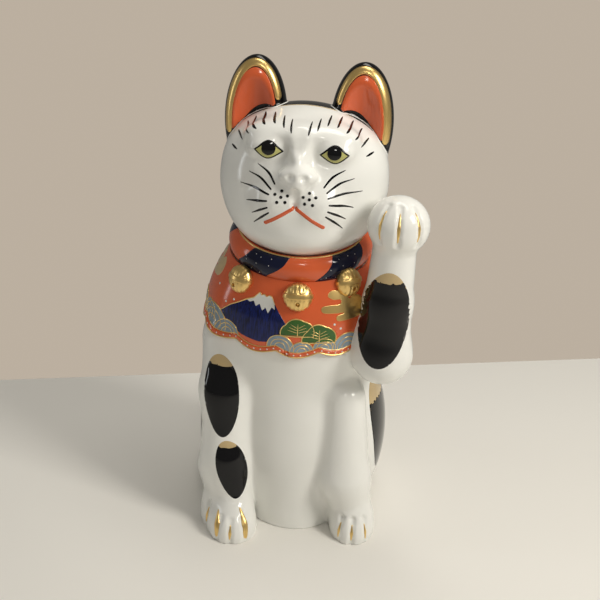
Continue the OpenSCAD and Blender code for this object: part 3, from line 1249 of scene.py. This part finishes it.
def hem_up(along):
    """Height of the hem at a place along it."""
    turn = along / ROUND_R
    wave = 0.5 - np.abs(np.sin((turn + math.radians(8)) * sizes().scallops / 2))
    return (
        HEM_FRONT * NECK_Z / USUAL_NECK_Z
        + HEM_RISE * (1 - np.cos(turn)) / 2
        + sizes().scallop / MM * wave
    )


def round_about(count):
    return np.arange(count) / count * 2 * math.pi * ROUND_R


def make_bib():
    cols, rows = 300, 36
    lay = round_of(bib_skin)
    along = round_about(cols)
    low = hem_up(along)
    top = COLLAR_Z - 5 + math.tan(COLLAR_TILT) * COLLAR_R * -np.cos(along / ROUND_R)
    share = np.linspace(0, 1, rows)
    u = np.repeat(along, rows)
    v = (low[:, None] + (top - low)[:, None] * share).ravel()
    outer, normals = lay(np.stack([u, v], -1))
    thick = np.full((cols, rows), sizes().bib_thick / MM + 0.6)
    inner = outer - normals * thick.ravel()[:, None]
    outer, inner, normals = (
        a.reshape(cols, rows, 3) for a in (outer, inner, normals)
    )
    section = np.concatenate([outer, inner[:, ::-1]], 1).reshape(-1, 3)
    facing = np.concatenate([normals, -normals[:, ::-1]], 1)
    facing[:, 0] = facing[:, 0] * 0.5 + (0, 0, -0.6)
    facing[:, -1] = facing[:, -1] * 0.5 + (0, 0, -0.6)
    facing /= np.linalg.norm(facing, axis=-1, keepdims=True)
    piece = grid_piece(
        "bib_cloth", section, facing.reshape(-1, 3), rows * 2, cols, "red_enamel"
    )
    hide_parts("bib")
    hem = Paint(lay, 0.55)
    line = np.stack([along, low + 1.2], -1)
    hem.loop(line, 2.6)
    hem.dry("hem_band", "red_enamel")
    edge = Paint(lay, 0.5)
    edge.loop(line - (0, 1.5), 0.9)
    edge.loop(line + (0, 1.6), 0.55, 0.3)
    edge.dry("hem_gilding", "gilding")


# ---- Bells ----


def bell_field(p):
    """A round bell lying on its back at the origin, facing up Z, with its slit towards -Y."""
    d = egg(p, (0, 0, 0), (7.6, 7.6, 5.0))
    band = np.maximum(
        egg(p, (0, 0, 0), (8.0, 8.0, 5.5)), np.abs(p[..., 1] - 0.6) - 1.1
    )
    d = melt(d, band, 0.5)
    d = d + 0.1 * np.cos(p[..., 0] * 2.9) * np.clip(np.abs(p[..., 1] - 0.6) - 1.6, 0, 1)
    hole = limb(p, (0, -3.4, 3), (0, -3.4, 9), 1.0, 1.0)
    slit = limb(p, (0, -3.4, 6.2), (0, -7, 3.4), 0.5, 0.5)
    d = carve(d, np.minimum(hole, slit), 0.5)
    return np.maximum(d, -p[..., 2] - 1.5)


def make_bells():
    step = 0.34 * 1
    points, quads, normals = cast(bell_field, (-9.5, -9.5, -3), (9.5, 9.5, 7.5), step)
    for name in BELL_NODES:
        low, high = node_box(name)
        centre = (low + high) / 2
        turn = math.atan2(centre[0], -centre[1])
        way = np.array([math.sin(turn), -math.cos(turn), 0.0])
        far = math.hypot(*centre[:2]) - 3.6
        across = np.array([math.cos(turn), math.sin(turn), 0.0])
        # The bell leans back a little, as the bib slopes.
        lean = math.radians(14)
        up = np.array([0, 0, 1.0]) * math.cos(lean) - way * math.sin(lean)
        face = way * math.cos(lean) + np.array([0, 0, 1.0]) * math.sin(lean)
        basis = np.stack([across, up, face])
        place = way * far + np.array([0, 0, centre[2]])
        piece = new_piece(
            name + "_gilt", points @ basis + place, quads, normals @ basis, gilding()
        )
        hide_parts(name)


# ---- Face ----


def almond(inner, outer, top, bottom):
    """An eye's outline between its corners, with a high upper lid."""
    inner, outer = np.array(inner, float), np.array(outer, float)
    upper = smooth_line([outer, top, inner], 0.5)
    lower = smooth_line([inner, bottom, outer], 0.5)
    return np.vstack([upper[:-1], lower[:-1]])


EYE = {
    "inner": (9.4, 218.9),
    "outer": (23.4, 219.2),
    "top": (16.4, 223.6),
    "bottom": (17.0, 215.2),
    "pupil": (16.4, 220.4),
}
PUPIL_R = 3.6
# The eyes are painted a little towards the raised paw.
FACE_SHIFT = 1.0
# Lower and upper end of each short stroke over an eye, from the nose outwards.
LEFT_BROW = [
    ((3.9, 227.8), (4.5, 232.3)),
    ((8.0, 229.6), (8.5, 233.0)),
    ((12.4, 231.3), (13.2, 233.4)),
    ((17.2, 230.9), (18.6, 232.4)),
    ((22.0, 229.0), (24.2, 230.4)),
    ((26.6, 226.0), (28.9, 227.3)),
    ((29.6, 221.5), (32.8, 223.4)),
    ((32.4, 216.5), (36.0, 217.4)),
]
RIGHT_BROW = [
    ((-4.6, 228.2), (-5.6, 232.5)),
    ((-8.6, 229.8), (-10.1, 233.0)),
    ((-13.4, 231.0), (-15.8, 232.8)),
    ((-18.4, 230.2), (-21.4, 231.5)),
    ((-22.6, 228.0), (-26.2, 229.1)),
    ((-26.4, 225.2), (-30.2, 226.4)),
    ((-30.2, 220.4), (-34.6, 222.0)),
    ((-33.0, 214.9), (-36.8, 215.7)),
]
WHISKERS = [
    # inner end, middle and outer end
    ((12.0, 203.6), (16.0, 208.4), (22.0, 211.6)),
    ((13.6, 201.2), (20.0, 205.4), (26.6, 207.2)),
    ((14.4, 198.9), (22.0, 200.2), (31.0, 200.4)),
    ((15.2, 195.9), (21.0, 194.6), (27.2, 192.4)),
    ((14.8, 192.8), (19.0, 190.4), (23.8, 186.8)),
    ((14.0, 190.2), (17.6, 187.0), (22.6, 181.8)),
]
WHISKER_DOTS = [
    (3.9, 199.7),
    (6.9, 201.8),
    (7.1, 198.9),
    (10.2, 200.0),
    (4.9, 196.6),
    (8.9, 196.4),
]
MOUTH = [(15.3, 183.3), (0.2, 193.6)]


def make_face():
    lay = front_of(skull)
    yolk, ink = Paint(lay, 0.1), Paint(lay, 0.17)
    for side in (1, -1):
        at = {k: np.array(v) * (side, 1) + (FACE_SHIFT, 0) for k, v in EYE.items()}
        outline = almond(at["inner"], at["outer"], at["top"], at["bottom"])
        yolk.area(outline, 0.9)
        ink.loop(outline, 0.95)
        ink.stroke([at["outer"], at["top"], at["inner"]], 1.5, (0.5, 0.6), 0.4)
        turn = np.linspace(0, 2 * math.pi, 33)[:-1]
        ring = at["pupil"] + PUPIL_R * np.stack([np.cos(turn), np.sin(turn)], -1)
        ink.area(ring, 0.8, 0.3)
        for whisker in WHISKERS:
            line = np.array(whisker) * (side, 1) + (FACE_SHIFT * 1.4, 0)
            ink.stroke(line, 1.25, (0.7, 0.3), 0.7, 0.13)
    for low, high in LEFT_BROW + RIGHT_BROW:
        ends = np.array([low, high])
        ink.stroke([ends[0], ends.mean(0), ends[1]], 1.25, (0.4, 0.6), 0.6, 0.14)
    yolk.dry("eye_colour", "yellow_enamel")
    ink.dry("face_lines", "black_enamel")
    mouth = Paint(lay, 0.2)
    for line in both_sides(MOUTH):
        mouth.stroke([line[0], line.mean(0), line[1]], 2.0, (1, 0.9), 0.6)
    mouth.dry("mouth_line", "red_enamel")
    spots = [(side * x, z - 0.5, 1.0) for side in (1, -1) for x, z in WHISKER_DOTS]
    dots("whisker_dots", [(lay, spots)], "black_enamel", 1.7)


# ---- Ears and the back of the head ----


def ear_arc(radii, start, end, count=40):
    """Part of an egg outline round an ear's middle, by angle from the outer side, over the top."""
    turn = np.radians(np.linspace(start, end, count))
    return np.stack(
        [
            EAR_CENTRE[0] + radii[0] * np.cos(turn),
            EAR_CENTRE[2] + radii[1] * np.sin(turn),
        ],
        -1,
    )


def crown_line(x):
    """Height where the ears' fronts meet the head."""
    return (
        NECK_Z
        + 46 * HEAD_STRETCH[2]
        + 30.2 * np.sqrt(np.maximum(0, 1 - (x / (43.6 * HEAD_STRETCH[0])) ** 2))
    )


def ear_base(lay, across):
    """Height at which the fronts of the ears leave the head."""
    rise = np.linspace(-16, 8, 49)
    base = []
    for x in across:
        line = np.stack([np.full(len(rise), x), crown_line(x) + rise], -1)
        base.append(line[np.argmax(skull(lay(line)[0]) > 0), 1])
    return np.polyval(np.polyfit(across, base, 3), across)


def make_ear_paint():
    """Red linings inside gilt rims; each stops short of the head, leaving a crescent of the black
    ear casting bare there as painted shade in the crease where the ear meets the head.
    """
    lay = front_of(ears, EAR_CENTRE[1] - 15)
    lining, rim = Paint(lay, 0.3), Paint(lay, 0.5)
    for side in (1, -1):
        arc = ear_arc((PIT_R[0] - 0.9, PIT_R[2] - 1.0), -20, 168, 48)
        base = ear_base(lay, arc[:, 0])
        arc, base = arc[arc[:, 1] > base + 0.5], base[arc[:, 1] > base + 0.5]
        # The lining's lower edge rises over the ear's base in a crescent, so the black casting
        # shows there as painted shade in the crease.
        across = np.linspace(arc[-1][0], arc[0][0], 24)[1:-1]
        share = np.linspace(0, 1.35, 22)
        gap = 2.4 * np.sin(math.pi * np.clip(share, 0, 1)) ** 0.8 - 0.4
        under = np.stack([across, ear_base(lay, across) + gap + 0.6], -1)
        lining.area(np.vstack([arc, under]) * (side, 1), 1.0)
        band = ear_arc((EAR_R[0] - 3.0, EAR_R[2] - 3.1), -16, 158, 60)
        band = band[band[:, 1] > ear_base(lay, band[:, 0]) + 0.5]
        rim.stroke(None, 4.2, (0.9, 0.7), 0.9, line=band * (side, 1))
    lining.dry("ear_linings", "red_enamel")
    rim.dry("ear_rims", "gilding")


HOOD = [
    # (turn from the top, angle from the middle of the back), in degrees, one side
    (0, 54),
    (20, 56),
    (42, 62),
    (60, 70),
    (74, 76),
    (88, 70),
    (104, 60),
    (122, 56),
    (140, 60),
    (160, 56),
    (180, 60),
]


def make_hood():
    """The black patch over the back of the head, edged with tan at the nape."""
    lay = away_from(skull, (0, 0, NECK_Z + 44), (0, math.cos(0.7), math.sin(0.7)))
    turn, far = np.radians(np.array(HOOD, float)).T
    half = BALL_R * far[:, None] * np.stack([np.sin(turn), np.cos(turn)], -1)
    outline = smooth_line(
        np.vstack([half, (half * (-1, 1))[-2:0:-1]]), 1.6, closed=True
    )
    black = Paint(lay, 0.14)
    black.area(outline, 2.4)
    black.dry("head_patch", "black_enamel")
    tan = Paint(lay, 0.08)
    low = outline[outline[:, 1] < -14]
    low = low[np.argsort(low[:, 0])]
    tan.stroke(None, 4.4, (0.3, 0.3), 1.5, line=low - (0, 1.2))
    crown = outline[outline[:, 1] > 30]
    crown = crown[np.argsort(crown[:, 0])]
    tan.stroke(None, 1.6, (0.5, 0.5), 1.5, line=crown + (0, 0.9))
    tan.dry("head_patch_edge", "tan_enamel")


# ---- Claws ----


def make_claws():
    """Gold lines in the grooves between the toes, each widest in its middle."""
    for paw, field, name in (
        ("front", painted_body, "front_claws"),
        ("left hind", painted_body, "left_hind_claws"),
        ("right hind", painted_body, "right_hind_claws"),
        ("raised", arm, "raised_claws"),
    ):
        centre, size, (start, end), toes = PAWS[paw]
        gold = Paint(away_from(field, centre, (0, -1, 0.001), size), 0.3)
        for side in toes:
            line = [
                around_aim(outward(side, rise), size)
                for rise in np.linspace(end + 6, start - 10, 6)
            ]
            gold.stroke(line, 2.0, (0.35, 0.3), 0.6)
        gold.dry(name, "gilding")


def around_aim(way, spread):
    """Where a direction falls in a view from the front on a ball of that radius."""
    turn = math.acos(max(-1, min(1, -way[1])))
    flat = np.array([way[0], way[2]])
    return flat / max(np.linalg.norm(flat), 1e-6) * turn * spread


# ---- Spots ----


def ragged(left, right, teeth, depth):
    """The brushed top edge of a spot, as a row of uneven points from right to left."""
    points = []
    for i in range(1, teeth * 2):
        t = i / (teeth * 2)
        jag = depth * (1 if i % 2 else -0.7) * (0.7 + 0.3 * math.sin(i * 2.3))
        points.append(
            (
                right[0] + (left[0] - right[0]) * t,
                right[1] + (left[1] - right[1]) * t + jag,
            )
        )
    return points


def spot(black, tan, middle, wide, tall, lean=0.0, tip=5.0, swell=0.1):
    """A long black spot, widest above its middle, whose ragged top edge fades to a tan tip."""
    middle = np.array(middle, float)
    edge = math.asin(1 - 2 * tip / tall)
    turn = np.linspace(math.pi - edge, 2 * math.pi + edge, 44)

    def rim(turn):
        z = np.sin(turn) * tall / 2
        x = np.cos(turn) * wide / 2 * (1 + swell * np.sin(turn))
        return middle + np.stack([x + z * lean, z], -1)

    oval = rim(turn)
    black.area(np.vstack([oval, ragged(oval[0], oval[-1], 7, 0.9)]), 1.3)
    cap = rim(np.linspace(edge - 0.22, math.pi - edge + 0.22, 20))
    tan.area(cap, 1.2)


def make_spots():
    lay = front_of(painted_body)
    black, tan = Paint(lay, 0.14), Paint(lay, 0.07)
    spot(black, tan, (-35.2, 80.0), 19.6, 45, -0.09, 5.6)
    spot(black, tan, (-27.3, 38.6), 16.0, 34, -0.2, 3.4)
    black.dry("foreleg_spots", "black_enamel")
    tan.dry("foreleg_spot_tips", "tan_enamel")
    lay = front_of(arm)
    black, tan = Paint(lay, 0.14), Paint(lay, 0.07)
    spot(black, tan, (48.6, 136.6), 26.4, 54, 0.05, 5.6, -0.08)
    black.dry("arm_spot", "black_enamel")
    tan.dry("arm_spot_tip", "tan_enamel")
    lay = round_of(painted_body)
    black, tan = Paint(lay, 0.14), Paint(lay, 0.07)
    quarter = ROUND_R * math.pi / 2
    spot(black, tan, (quarter * 0.98, 56), 26, 62, 0.0, 16)
    spot(black, tan, (-quarter * 1.02, 52), 24, 44, 0.0, 6)
    spot(black, tan, (-quarter * 1.72, 84), 26, 40, 0.1, 6)
    black.dry("haunch_spots", "black_enamel")
    tan.dry("haunch_spot_tips", "tan_enamel")


# ---- Collar painting ----


def make_collar_paint():
    """Navy blocks that slant round the roll, and a gilt line along each edge."""
    navy = Paint(on_collar, 0.1)
    block = COLLAR_ROUND / COLLAR_BLOCKS
    for i in range(COLLAR_BLOCKS):
        start = (i - 1) * block - COLLAR_ROUND * 58 / 360 + block
        wide, slant = block * 0.44, block * 0.3
        rise = np.linspace(-9.0, 10.0, 15)
        lean = slant * (rise + 9) / 18 + 0.9 * np.sin(rise * 0.45)
        left = np.stack([start + lean, rise], -1)
        right = np.stack([start + wide + lean * 1.15, rise], -1)
        navy.area(straight_line(np.vstack([left, right[::-1]]), 1.0), 1.4)
    navy.dry("collar_blocks", "navy_enamel", "blue_enamel")
    gold = Paint(on_collar, 0.3)
    along = np.arange(240) / 240 * COLLAR_ROUND
    gold.loop(np.stack([along, np.full(240, 9.8)], -1), 1.2)
    gold.loop(np.stack([along, np.full(240, -5.4)], -1), 1.0)
    gold.dry("collar_gilding", "gilding")


# ---- The picture round the bib ----

MOUNTAIN = [
    (-42.5, 127.6),
    (-36.0, 133.2),
    (-31.0, 136.0),
    (-25.7, 139.2),
    (-21.5, 141.0),
    (-18.6, 144.2),
    (-17.2, 142.8),
    (-15.6, 143.6),
    (-14.2, 142.4),
    (-12.6, 143.4),
    (-10.9, 143.0),
    (-8.6, 139.4),
    (-5.6, 135.4),
    (-2.4, 131.4),
    (0.6, 127.6),
]
MOUNTAIN_FOOT = [
    (-3.4, 121.5),
    (-9.0, 118.6),
    (-16.0, 117.6),
    (-27.0, 119.4),
    (-35.0, 122.6),
]
SNOW_EDGE = [
    (-8.0, 136.2),
    (-10.2, 137.4),
    (-12.0, 133.8),
    (-13.8, 136.6),
    (-15.6, 134.8),
    (-17.6, 138.2),
    (-19.6, 136.4),
    (-21.4, 139.0),
    (-23.6, 138.0),
    (-26.4, 138.9),
]
# The gilt line over the mountain ends here, where the snow does on the cat's left.
RIDGE_POINTS = 61

CLOUD = [
    (-8.6, 5.4),
    (-6.5, 7.8),
    (-2.0, 7.8),
    (2.5, 6.6),
    (4.6, 3.0),
    (8.0, 4.6),
    (12.5, 2.6),
    (13.4, -2.6),
    (10.0, -6.6),
    (2.0, -7.8),
    (-3.6, -7.6),
    (-4.0, -5.0),
    (0.4, -3.8),
    (-5.0, -3.6),
    (-11.6, -3.0),
    (-12.4, -0.2),
    (-8.0, 0.8),
    (-1.6, 1.0),
    (-1.0, 3.0),
    (-5.4, 3.4),
]


class Picture:
    """The layers of the bib's painting."""

    def __init__(self):
        lay = round_of(bib_skin)
        height = enamel_height()
        self.layers = {
            "blue_enamel": Paint(lay, height),
            "white_enamel": Paint(lay, height + 0.05),
            "wave_enamel": Paint(lay, height + 0.06),
            "green_enamel": Paint(lay, height + 0.14),
            "tan_enamel": Paint(lay, height + 0.02),
        }
        self.gold = Paint(lay, height + 0.2)
        self.thick_gold = Paint(lay, height + 0.28)

    def mountain(self, at):
        shift = np.array([at, float(hem_up(np.array(at))) - float(hem_up(np.array(0.0)))])
        slope, foot, snow = (
            np.array(p) + shift for p in (MOUNTAIN, MOUNTAIN_FOOT, SNOW_EDGE)
        )
        self.layers["blue_enamel"].area(straight_line(np.vstack([slope, foot]), 1.2))
        top = slope[3:12]
        self.layers["white_enamel"].area(
            straight_line(np.vstack([top, snow]), 0.8), 1.0
        )
        ridge = straight_line(slope, 0.8)[:RIDGE_POINTS]
        self.gold.stroke(None, 0.75, (0.5, 0.6), 0.8, line=ridge)

    def wave(self, at, radius):
        """A round wave, with arcs of gold inside each other."""
        base = float(hem_up(np.array(at))) + 3.0
        turn = np.radians(np.linspace(-8, 188, 22))
        outline = np.stack(
            [
                at + radius * np.cos(turn),
                base + radius * 0.92 * np.sin(turn),
            ],
            -1,
        )
        low = np.linspace(outline[-1][0], outline[0][0], 8)[1:-1]
        floor = np.stack([low, hem_up(low) + 2.6], -1)
        self.layers["wave_enamel"].area(np.vstack([outline, floor]), 1.0)
        for share in (1, 0.7, 0.4):
            arc = np.stack(
                [
                    at + (outline[:, 0] - at) * share,
                    base + (outline[:, 1] - base) * share,
                ],
                -1,
            )
            self.gold.stroke(None, 0.7, (0.6, 0.6), 0.7, line=arc)

    def pine(self, at, base, wide, tall):
        """A fan of pine needles: lobes along its top, and gilt veins."""
        turn = np.radians(np.linspace(-12, 192, 49))
        lobes = 1 + 0.1 * np.abs(np.sin(turn * 2.5 + 0.2))
        outline = np.stack(
            [
                at + wide / 2 * lobes * np.cos(turn),
                base + tall * lobes * np.maximum(np.sin(turn), -0.16),
            ],
            -1,
        )
        self.layers["green_enamel"].area(outline, 0.9)
        self.gold.loop(straight_line(outline, 0.6), 0.7)
        self.gold.stroke([(at, base - 1), (at, base + tall * 0.8)], 0.8, (1, 0.3), 0.6)
        for side in (1, -1):
            for share in (0.28, 0.56, 0.84):
                start = (at + side * 0.4, base + tall * (share * 0.62 - 0.05))
                end = (
                    at + side * wide * 0.36 * (1.15 - share * 0.55),
                    base + tall * (share * 0.72 + 0.12),
                )
                self.gold.stroke([start, end], 0.5, (1, 0.3), 0.6)

    def cloud(self, at, up, size=1.0, slot=None):
        """A drifting cloud of round-ended bars that join at one end."""
        paint = self.layers[slot] if slot else self.thick_gold
        line = smooth_line(np.array(CLOUD) * size + (at, up), 0.7, closed=True)
        paint.area(line, 1.1)

    def dry(self):
        for slot, paint in self.layers.items():
            if paint.count:
                paint.dry("bib_" + slot.split("_")[0], slot)
        self.gold.dry("bib_gilt_lines", "gilding")
        self.thick_gold.dry("bib_gilt_clouds", "gilding")


def make_picture():
    picture = Picture()
    for at in (0.0, BODY_ROUND / 2):
        picture.mountain(at)
        picture.pine(at + 5.2, 125.0 + (at > 0) * HEM_RISE, 17, 7.6)
        picture.pine(at + 17.0, 121.5 + (at > 0) * HEM_RISE, 17, 8.2)
        picture.cloud(at + 30.5, 139.5 + (at > 0) * 6)
        picture.cloud(at - 64.0, 148.0, 0.9, "tan_enamel")
    for at, radius in (
        (-48, 11),
        (-36, 7.5),
        (-4, 7.5),
        (8, 6.5),
        (20, 6.0),
        (33, 8.5),
        (46, 9),
        (60, 8),
        (74, 10),
        (88, 8),
    ):
        picture.wave(at, radius)
        picture.wave(at + BODY_ROUND / 2, radius)
    picture.dry()


BIB_DOTS = [(-39.5, 133.6), (-34.5, 136.3), (-49, 140), (25.0, 130.2), (28.5, 127.6)]


def make_dots():
    bib = round_of(bib_skin)
    count = 76
    along = round_about(count)
    hem = [(u, float(hem_up(np.array(u))) + 1.2, 0.9) for u in along]
    loose = [
        (u + s, v + (s > 0) * 9, 1.35) for u, v in BIB_DOTS for s in (0, BODY_ROUND / 2)
    ]
    dice = np.random.default_rng(7)
    block = COLLAR_ROUND / COLLAR_BLOCKS
    collar = []
    for i in range(COLLAR_BLOCKS):
        start = i * block - COLLAR_ROUND * 58 / 360
        for row in range(4):
            for col in range(3):
                v = -6.2 + row * 4.0 + dice.uniform(-0.7, 0.7)
                u = start + 3.2 + col * 5.4 + (v + 9) / 18 * block * 0.3
                collar.append((u + dice.uniform(-1.2, 1.2), v, 0.62))
    lifted = round_of(lambda p: bib_skin(p) - 0.5)
    dots(
        "white_dots",
        [(lifted, hem), (bib, loose), (on_collar, collar)],
        "white_enamel",
        sizes().dot / MM,
    )


# ---- Stage ----


def plain(name, tint, rough):
    """A dull, faintly clouded finish."""
    material = new_finish(name)
    nodes, _, shader = nodes_of(material)
    place = nodes.new("ShaderNodeTexCoord").outputs["Object"]
    cloud = noise_of(material, place, 2.0, 2.0)
    tinted_by(material, cloud, (0.0, shaded(tint, 0.97)), (1.0, tint))
    set_inputs(shader, Roughness=rough, Specular_IOR_Level=0.2)
    return material


def area_light(name, place, aim, size, power, tint):
    data = bpy.data.lights.new(name, "AREA")
    data.shape, data.size = "RECTANGLE", size[0]
    data.size_y = size[1]
    data.energy, data.color = power, tint
    light = bpy.data.objects.new(name, data)
    light.location = place
    light.rotation_mode = "QUATERNION"
    light.rotation_quaternion = (Vector(aim) - Vector(place)).to_track_quat("-Z", "Y")
    bpy.context.scene.collection.objects.link(light)


def make_stage():
    c = colours()
    # The table's back edge runs at a slant behind the cat.
    slant, behind, deep, wide, thick = math.radians(16.6), 0.1556, 1.7, 1.5, 0.03
    corners = [
        (
            x * math.cos(slant) - y * math.sin(slant),
            x * math.sin(slant) + y * math.cos(slant) + behind,
            z,
        )
        for z in (-thick, 0.0)
        for x, y in ((-wide, -deep), (wide, -deep), (wide, 0), (-wide, 0))
    ]
    mesh = bpy.data.meshes.new("table")
    mesh.from_pydata(
        corners,
        [],
        [
            (3, 2, 1, 0),
            (4, 5, 6, 7),
            (0, 1, 5, 4),
            (1, 2, 6, 5),
            (2, 3, 7, 6),
            (3, 0, 4, 7),
        ],
    )
    mesh.materials.append(plain("table", c.table, 0.5))
    table = bpy.data.objects.new("table", mesh)
    bpy.context.scene.collection.objects.link(table)

    world = bpy.data.worlds.new("room")
    world.use_nodes = True
    nodes, links = world.node_tree.nodes, world.node_tree.links
    wall = nodes["Background"]
    wall.inputs["Color"].default_value = (*c.wall, 1)
    room = nodes.new("ShaderNodeBackground")
    room.inputs["Color"].default_value = (0.46, 0.44, 0.4, 1)
    room.inputs["Strength"].default_value = 0.42
    seen = nodes.new("ShaderNodeLightPath")
    either = nodes.new("ShaderNodeMixShader")
    links.new(seen.outputs["Is Camera Ray"], either.inputs[0])
    links.new(room.outputs["Background"], either.inputs[1])
    links.new(wall.outputs["Background"], either.inputs[2])
    links.new(either.outputs["Shader"], nodes["World Output"].inputs["Surface"])
    bpy.context.scene.world = world

    warm, cool = (1.0, 0.96, 0.89), (0.95, 0.97, 1.0)
    area_light("key", (0.62, -0.3, 0.62), (0.0, 0.0, 0.12), (0.22, 0.3), 4.0, warm)
    area_light("top", (0.1, 0.1, 0.95), (0.0, 0.0, 0.1), (0.6, 0.25), 2.6, warm)
    area_light("lamp", (0.12, -0.8, 0.75), (0.0, 0.0, 0.15), (0.1, 0.06), 0.8, warm)
    area_light("window", (-0.8, -0.1, 0.3), (0.0, 0.0, 0.12), (0.06, 0.5), 0.5, cool)

    azimuth, elevation, roll = (math.radians(a) for a in (6, 24, 3))
    aim, distance = Vector((-0.003, 0, 0.130)), 0.600
    back = Vector(
        (
            math.sin(azimuth) * math.cos(elevation),
            -math.cos(azimuth) * math.cos(elevation),
            math.sin(elevation),
        )
    )
    data = bpy.data.cameras.new("camera")
    data.lens, data.sensor_width = 65, 36
    data.shift_x, data.shift_y = 0.0116667, -0.015
    camera = bpy.data.objects.new("camera", data)
    camera.location = aim + back * distance
    camera.rotation_mode = "QUATERNION"
    camera.rotation_quaternion = (-back).to_track_quat("-Z", "Y") @ Quaternion(
        (0, 0, 1), roll
    )
    bpy.context.scene.collection.objects.link(camera)
    bpy.context.scene.camera = camera
    bpy.context.scene.view_settings.view_transform = "Standard"


# ---- Operators, panel and registration ----


class CAT_OT_castings(bpy.types.Operator):
    """Cast the torso, arm and tail"""

    bl_idname = "cat.castings"
    bl_label = "Body Castings"
    bl_options = {"REGISTER", "UNDO"}

    def execute(self, context):
        make_castings()
        return {"FINISHED"}


class CAT_OT_head(bpy.types.Operator):
    """Cast the head and the ears"""

    bl_idname = "cat.head"
    bl_label = "Head and Ears"
    bl_options = {"REGISTER", "UNDO"}

    def execute(self, context):
        make_head()
        return {"FINISHED"}


class CAT_OT_collar(bpy.types.Operator):
    """Roll the collar and paint its blocks"""

    bl_idname = "cat.collar"
    bl_label = "Collar"
    bl_options = {"REGISTER", "UNDO"}

    def execute(self, context):
        make_collar()
        make_collar_paint()
        return {"FINISHED"}


class CAT_OT_bib(bpy.types.Operator):
    """Hang the bib and band its hem"""

    bl_idname = "cat.bib"
    bl_label = "Bib"
    bl_options = {"REGISTER", "UNDO"}

    def execute(self, context):
        make_bib()
        return {"FINISHED"}


class CAT_OT_bells(bpy.types.Operator):
    """Set the gilt bells"""

    bl_idname = "cat.bells"
    bl_label = "Bells"
    bl_options = {"REGISTER", "UNDO"}

    def execute(self, context):
        make_bells()
        return {"FINISHED"}


class CAT_OT_face(bpy.types.Operator):
    """Paint the eyes, brows, whiskers and mouth"""

    bl_idname = "cat.face"
    bl_label = "Face"
    bl_options = {"REGISTER", "UNDO"}

    def execute(self, context):
        make_face()
        return {"FINISHED"}


class CAT_OT_ears(bpy.types.Operator):
    """Paint the ears and the back of the head"""

    bl_idname = "cat.ears"
    bl_label = "Ear Painting"
    bl_options = {"REGISTER", "UNDO"}

    def execute(self, context):
        make_ear_paint()
        make_hood()
        return {"FINISHED"}


class CAT_OT_claws(bpy.types.Operator):
    """Gild the lines between the toes"""

    bl_idname = "cat.claws"
    bl_label = "Claws"
    bl_options = {"REGISTER", "UNDO"}

    def execute(self, context):
        make_claws()
        return {"FINISHED"}


class CAT_OT_spots(bpy.types.Operator):
    """Paint the spots"""

    bl_idname = "cat.spots"
    bl_label = "Spots"
    bl_options = {"REGISTER", "UNDO"}

    def execute(self, context):
        make_spots()
        return {"FINISHED"}


class CAT_OT_picture(bpy.types.Operator):
    """Paint the mountains, waves, pines and clouds"""

    bl_idname = "cat.picture"
    bl_label = "Bib Picture"
    bl_options = {"REGISTER", "UNDO"}

    def execute(self, context):
        make_picture()
        return {"FINISHED"}


class CAT_OT_dots(bpy.types.Operator):
    """Set the dots of white enamel"""

    bl_idname = "cat.dots"
    bl_label = "White Dots"
    bl_options = {"REGISTER", "UNDO"}

    def execute(self, context):
        make_dots()
        return {"FINISHED"}


class CAT_OT_stage(bpy.types.Operator):
    """Set up the table, lights and camera"""

    bl_idname = "cat.stage"
    bl_label = "Stage"
    bl_options = {"REGISTER", "UNDO"}

    def execute(self, context):
        make_stage()
        return {"FINISHED"}


OPERATORS = [
    CAT_OT_castings,
    CAT_OT_head,
    CAT_OT_collar,
    CAT_OT_bib,
    CAT_OT_bells,
    CAT_OT_face,
    CAT_OT_ears,
    CAT_OT_claws,
    CAT_OT_spots,
    CAT_OT_picture,
    CAT_OT_dots,
    CAT_OT_stage,
]


class CAT_PT_panel(bpy.types.Panel):
    bl_label = "Beckoning Cat"
    bl_idname = "CAT_PT_panel"
    bl_space_type = "VIEW_3D"
    bl_region_type = "UI"
    bl_category = "Cat"

    def draw(self, context):
        for group in (context.scene.cat_sizes, context.scene.cat_colours):
            box = self.layout.box()
            for name in group.bl_rna.properties.keys():
                if name not in ("rna_type", "name"):
                    box.prop(group, name)
        for made in OPERATORS:
            self.layout.operator(made.bl_idname)


CLASSES = [CatSizes, CatColours, *OPERATORS, CAT_PT_panel]


def register():
    for cls in CLASSES:
        bpy.utils.register_class(cls)
    bpy.types.Scene.cat_sizes = PointerProperty(type=CatSizes)
    bpy.types.Scene.cat_colours = PointerProperty(type=CatColours)


def unregister():
    del bpy.types.Scene.cat_sizes
    del bpy.types.Scene.cat_colours
    for cls in reversed(CLASSES):
        bpy.utils.unregister_class(cls)


def main():
    register()
    for made in OPERATORS:
        group, name = made.bl_idname.split(".")
        getattr(getattr(bpy.ops, group), name)()


if __name__ == "__main__":
    main()
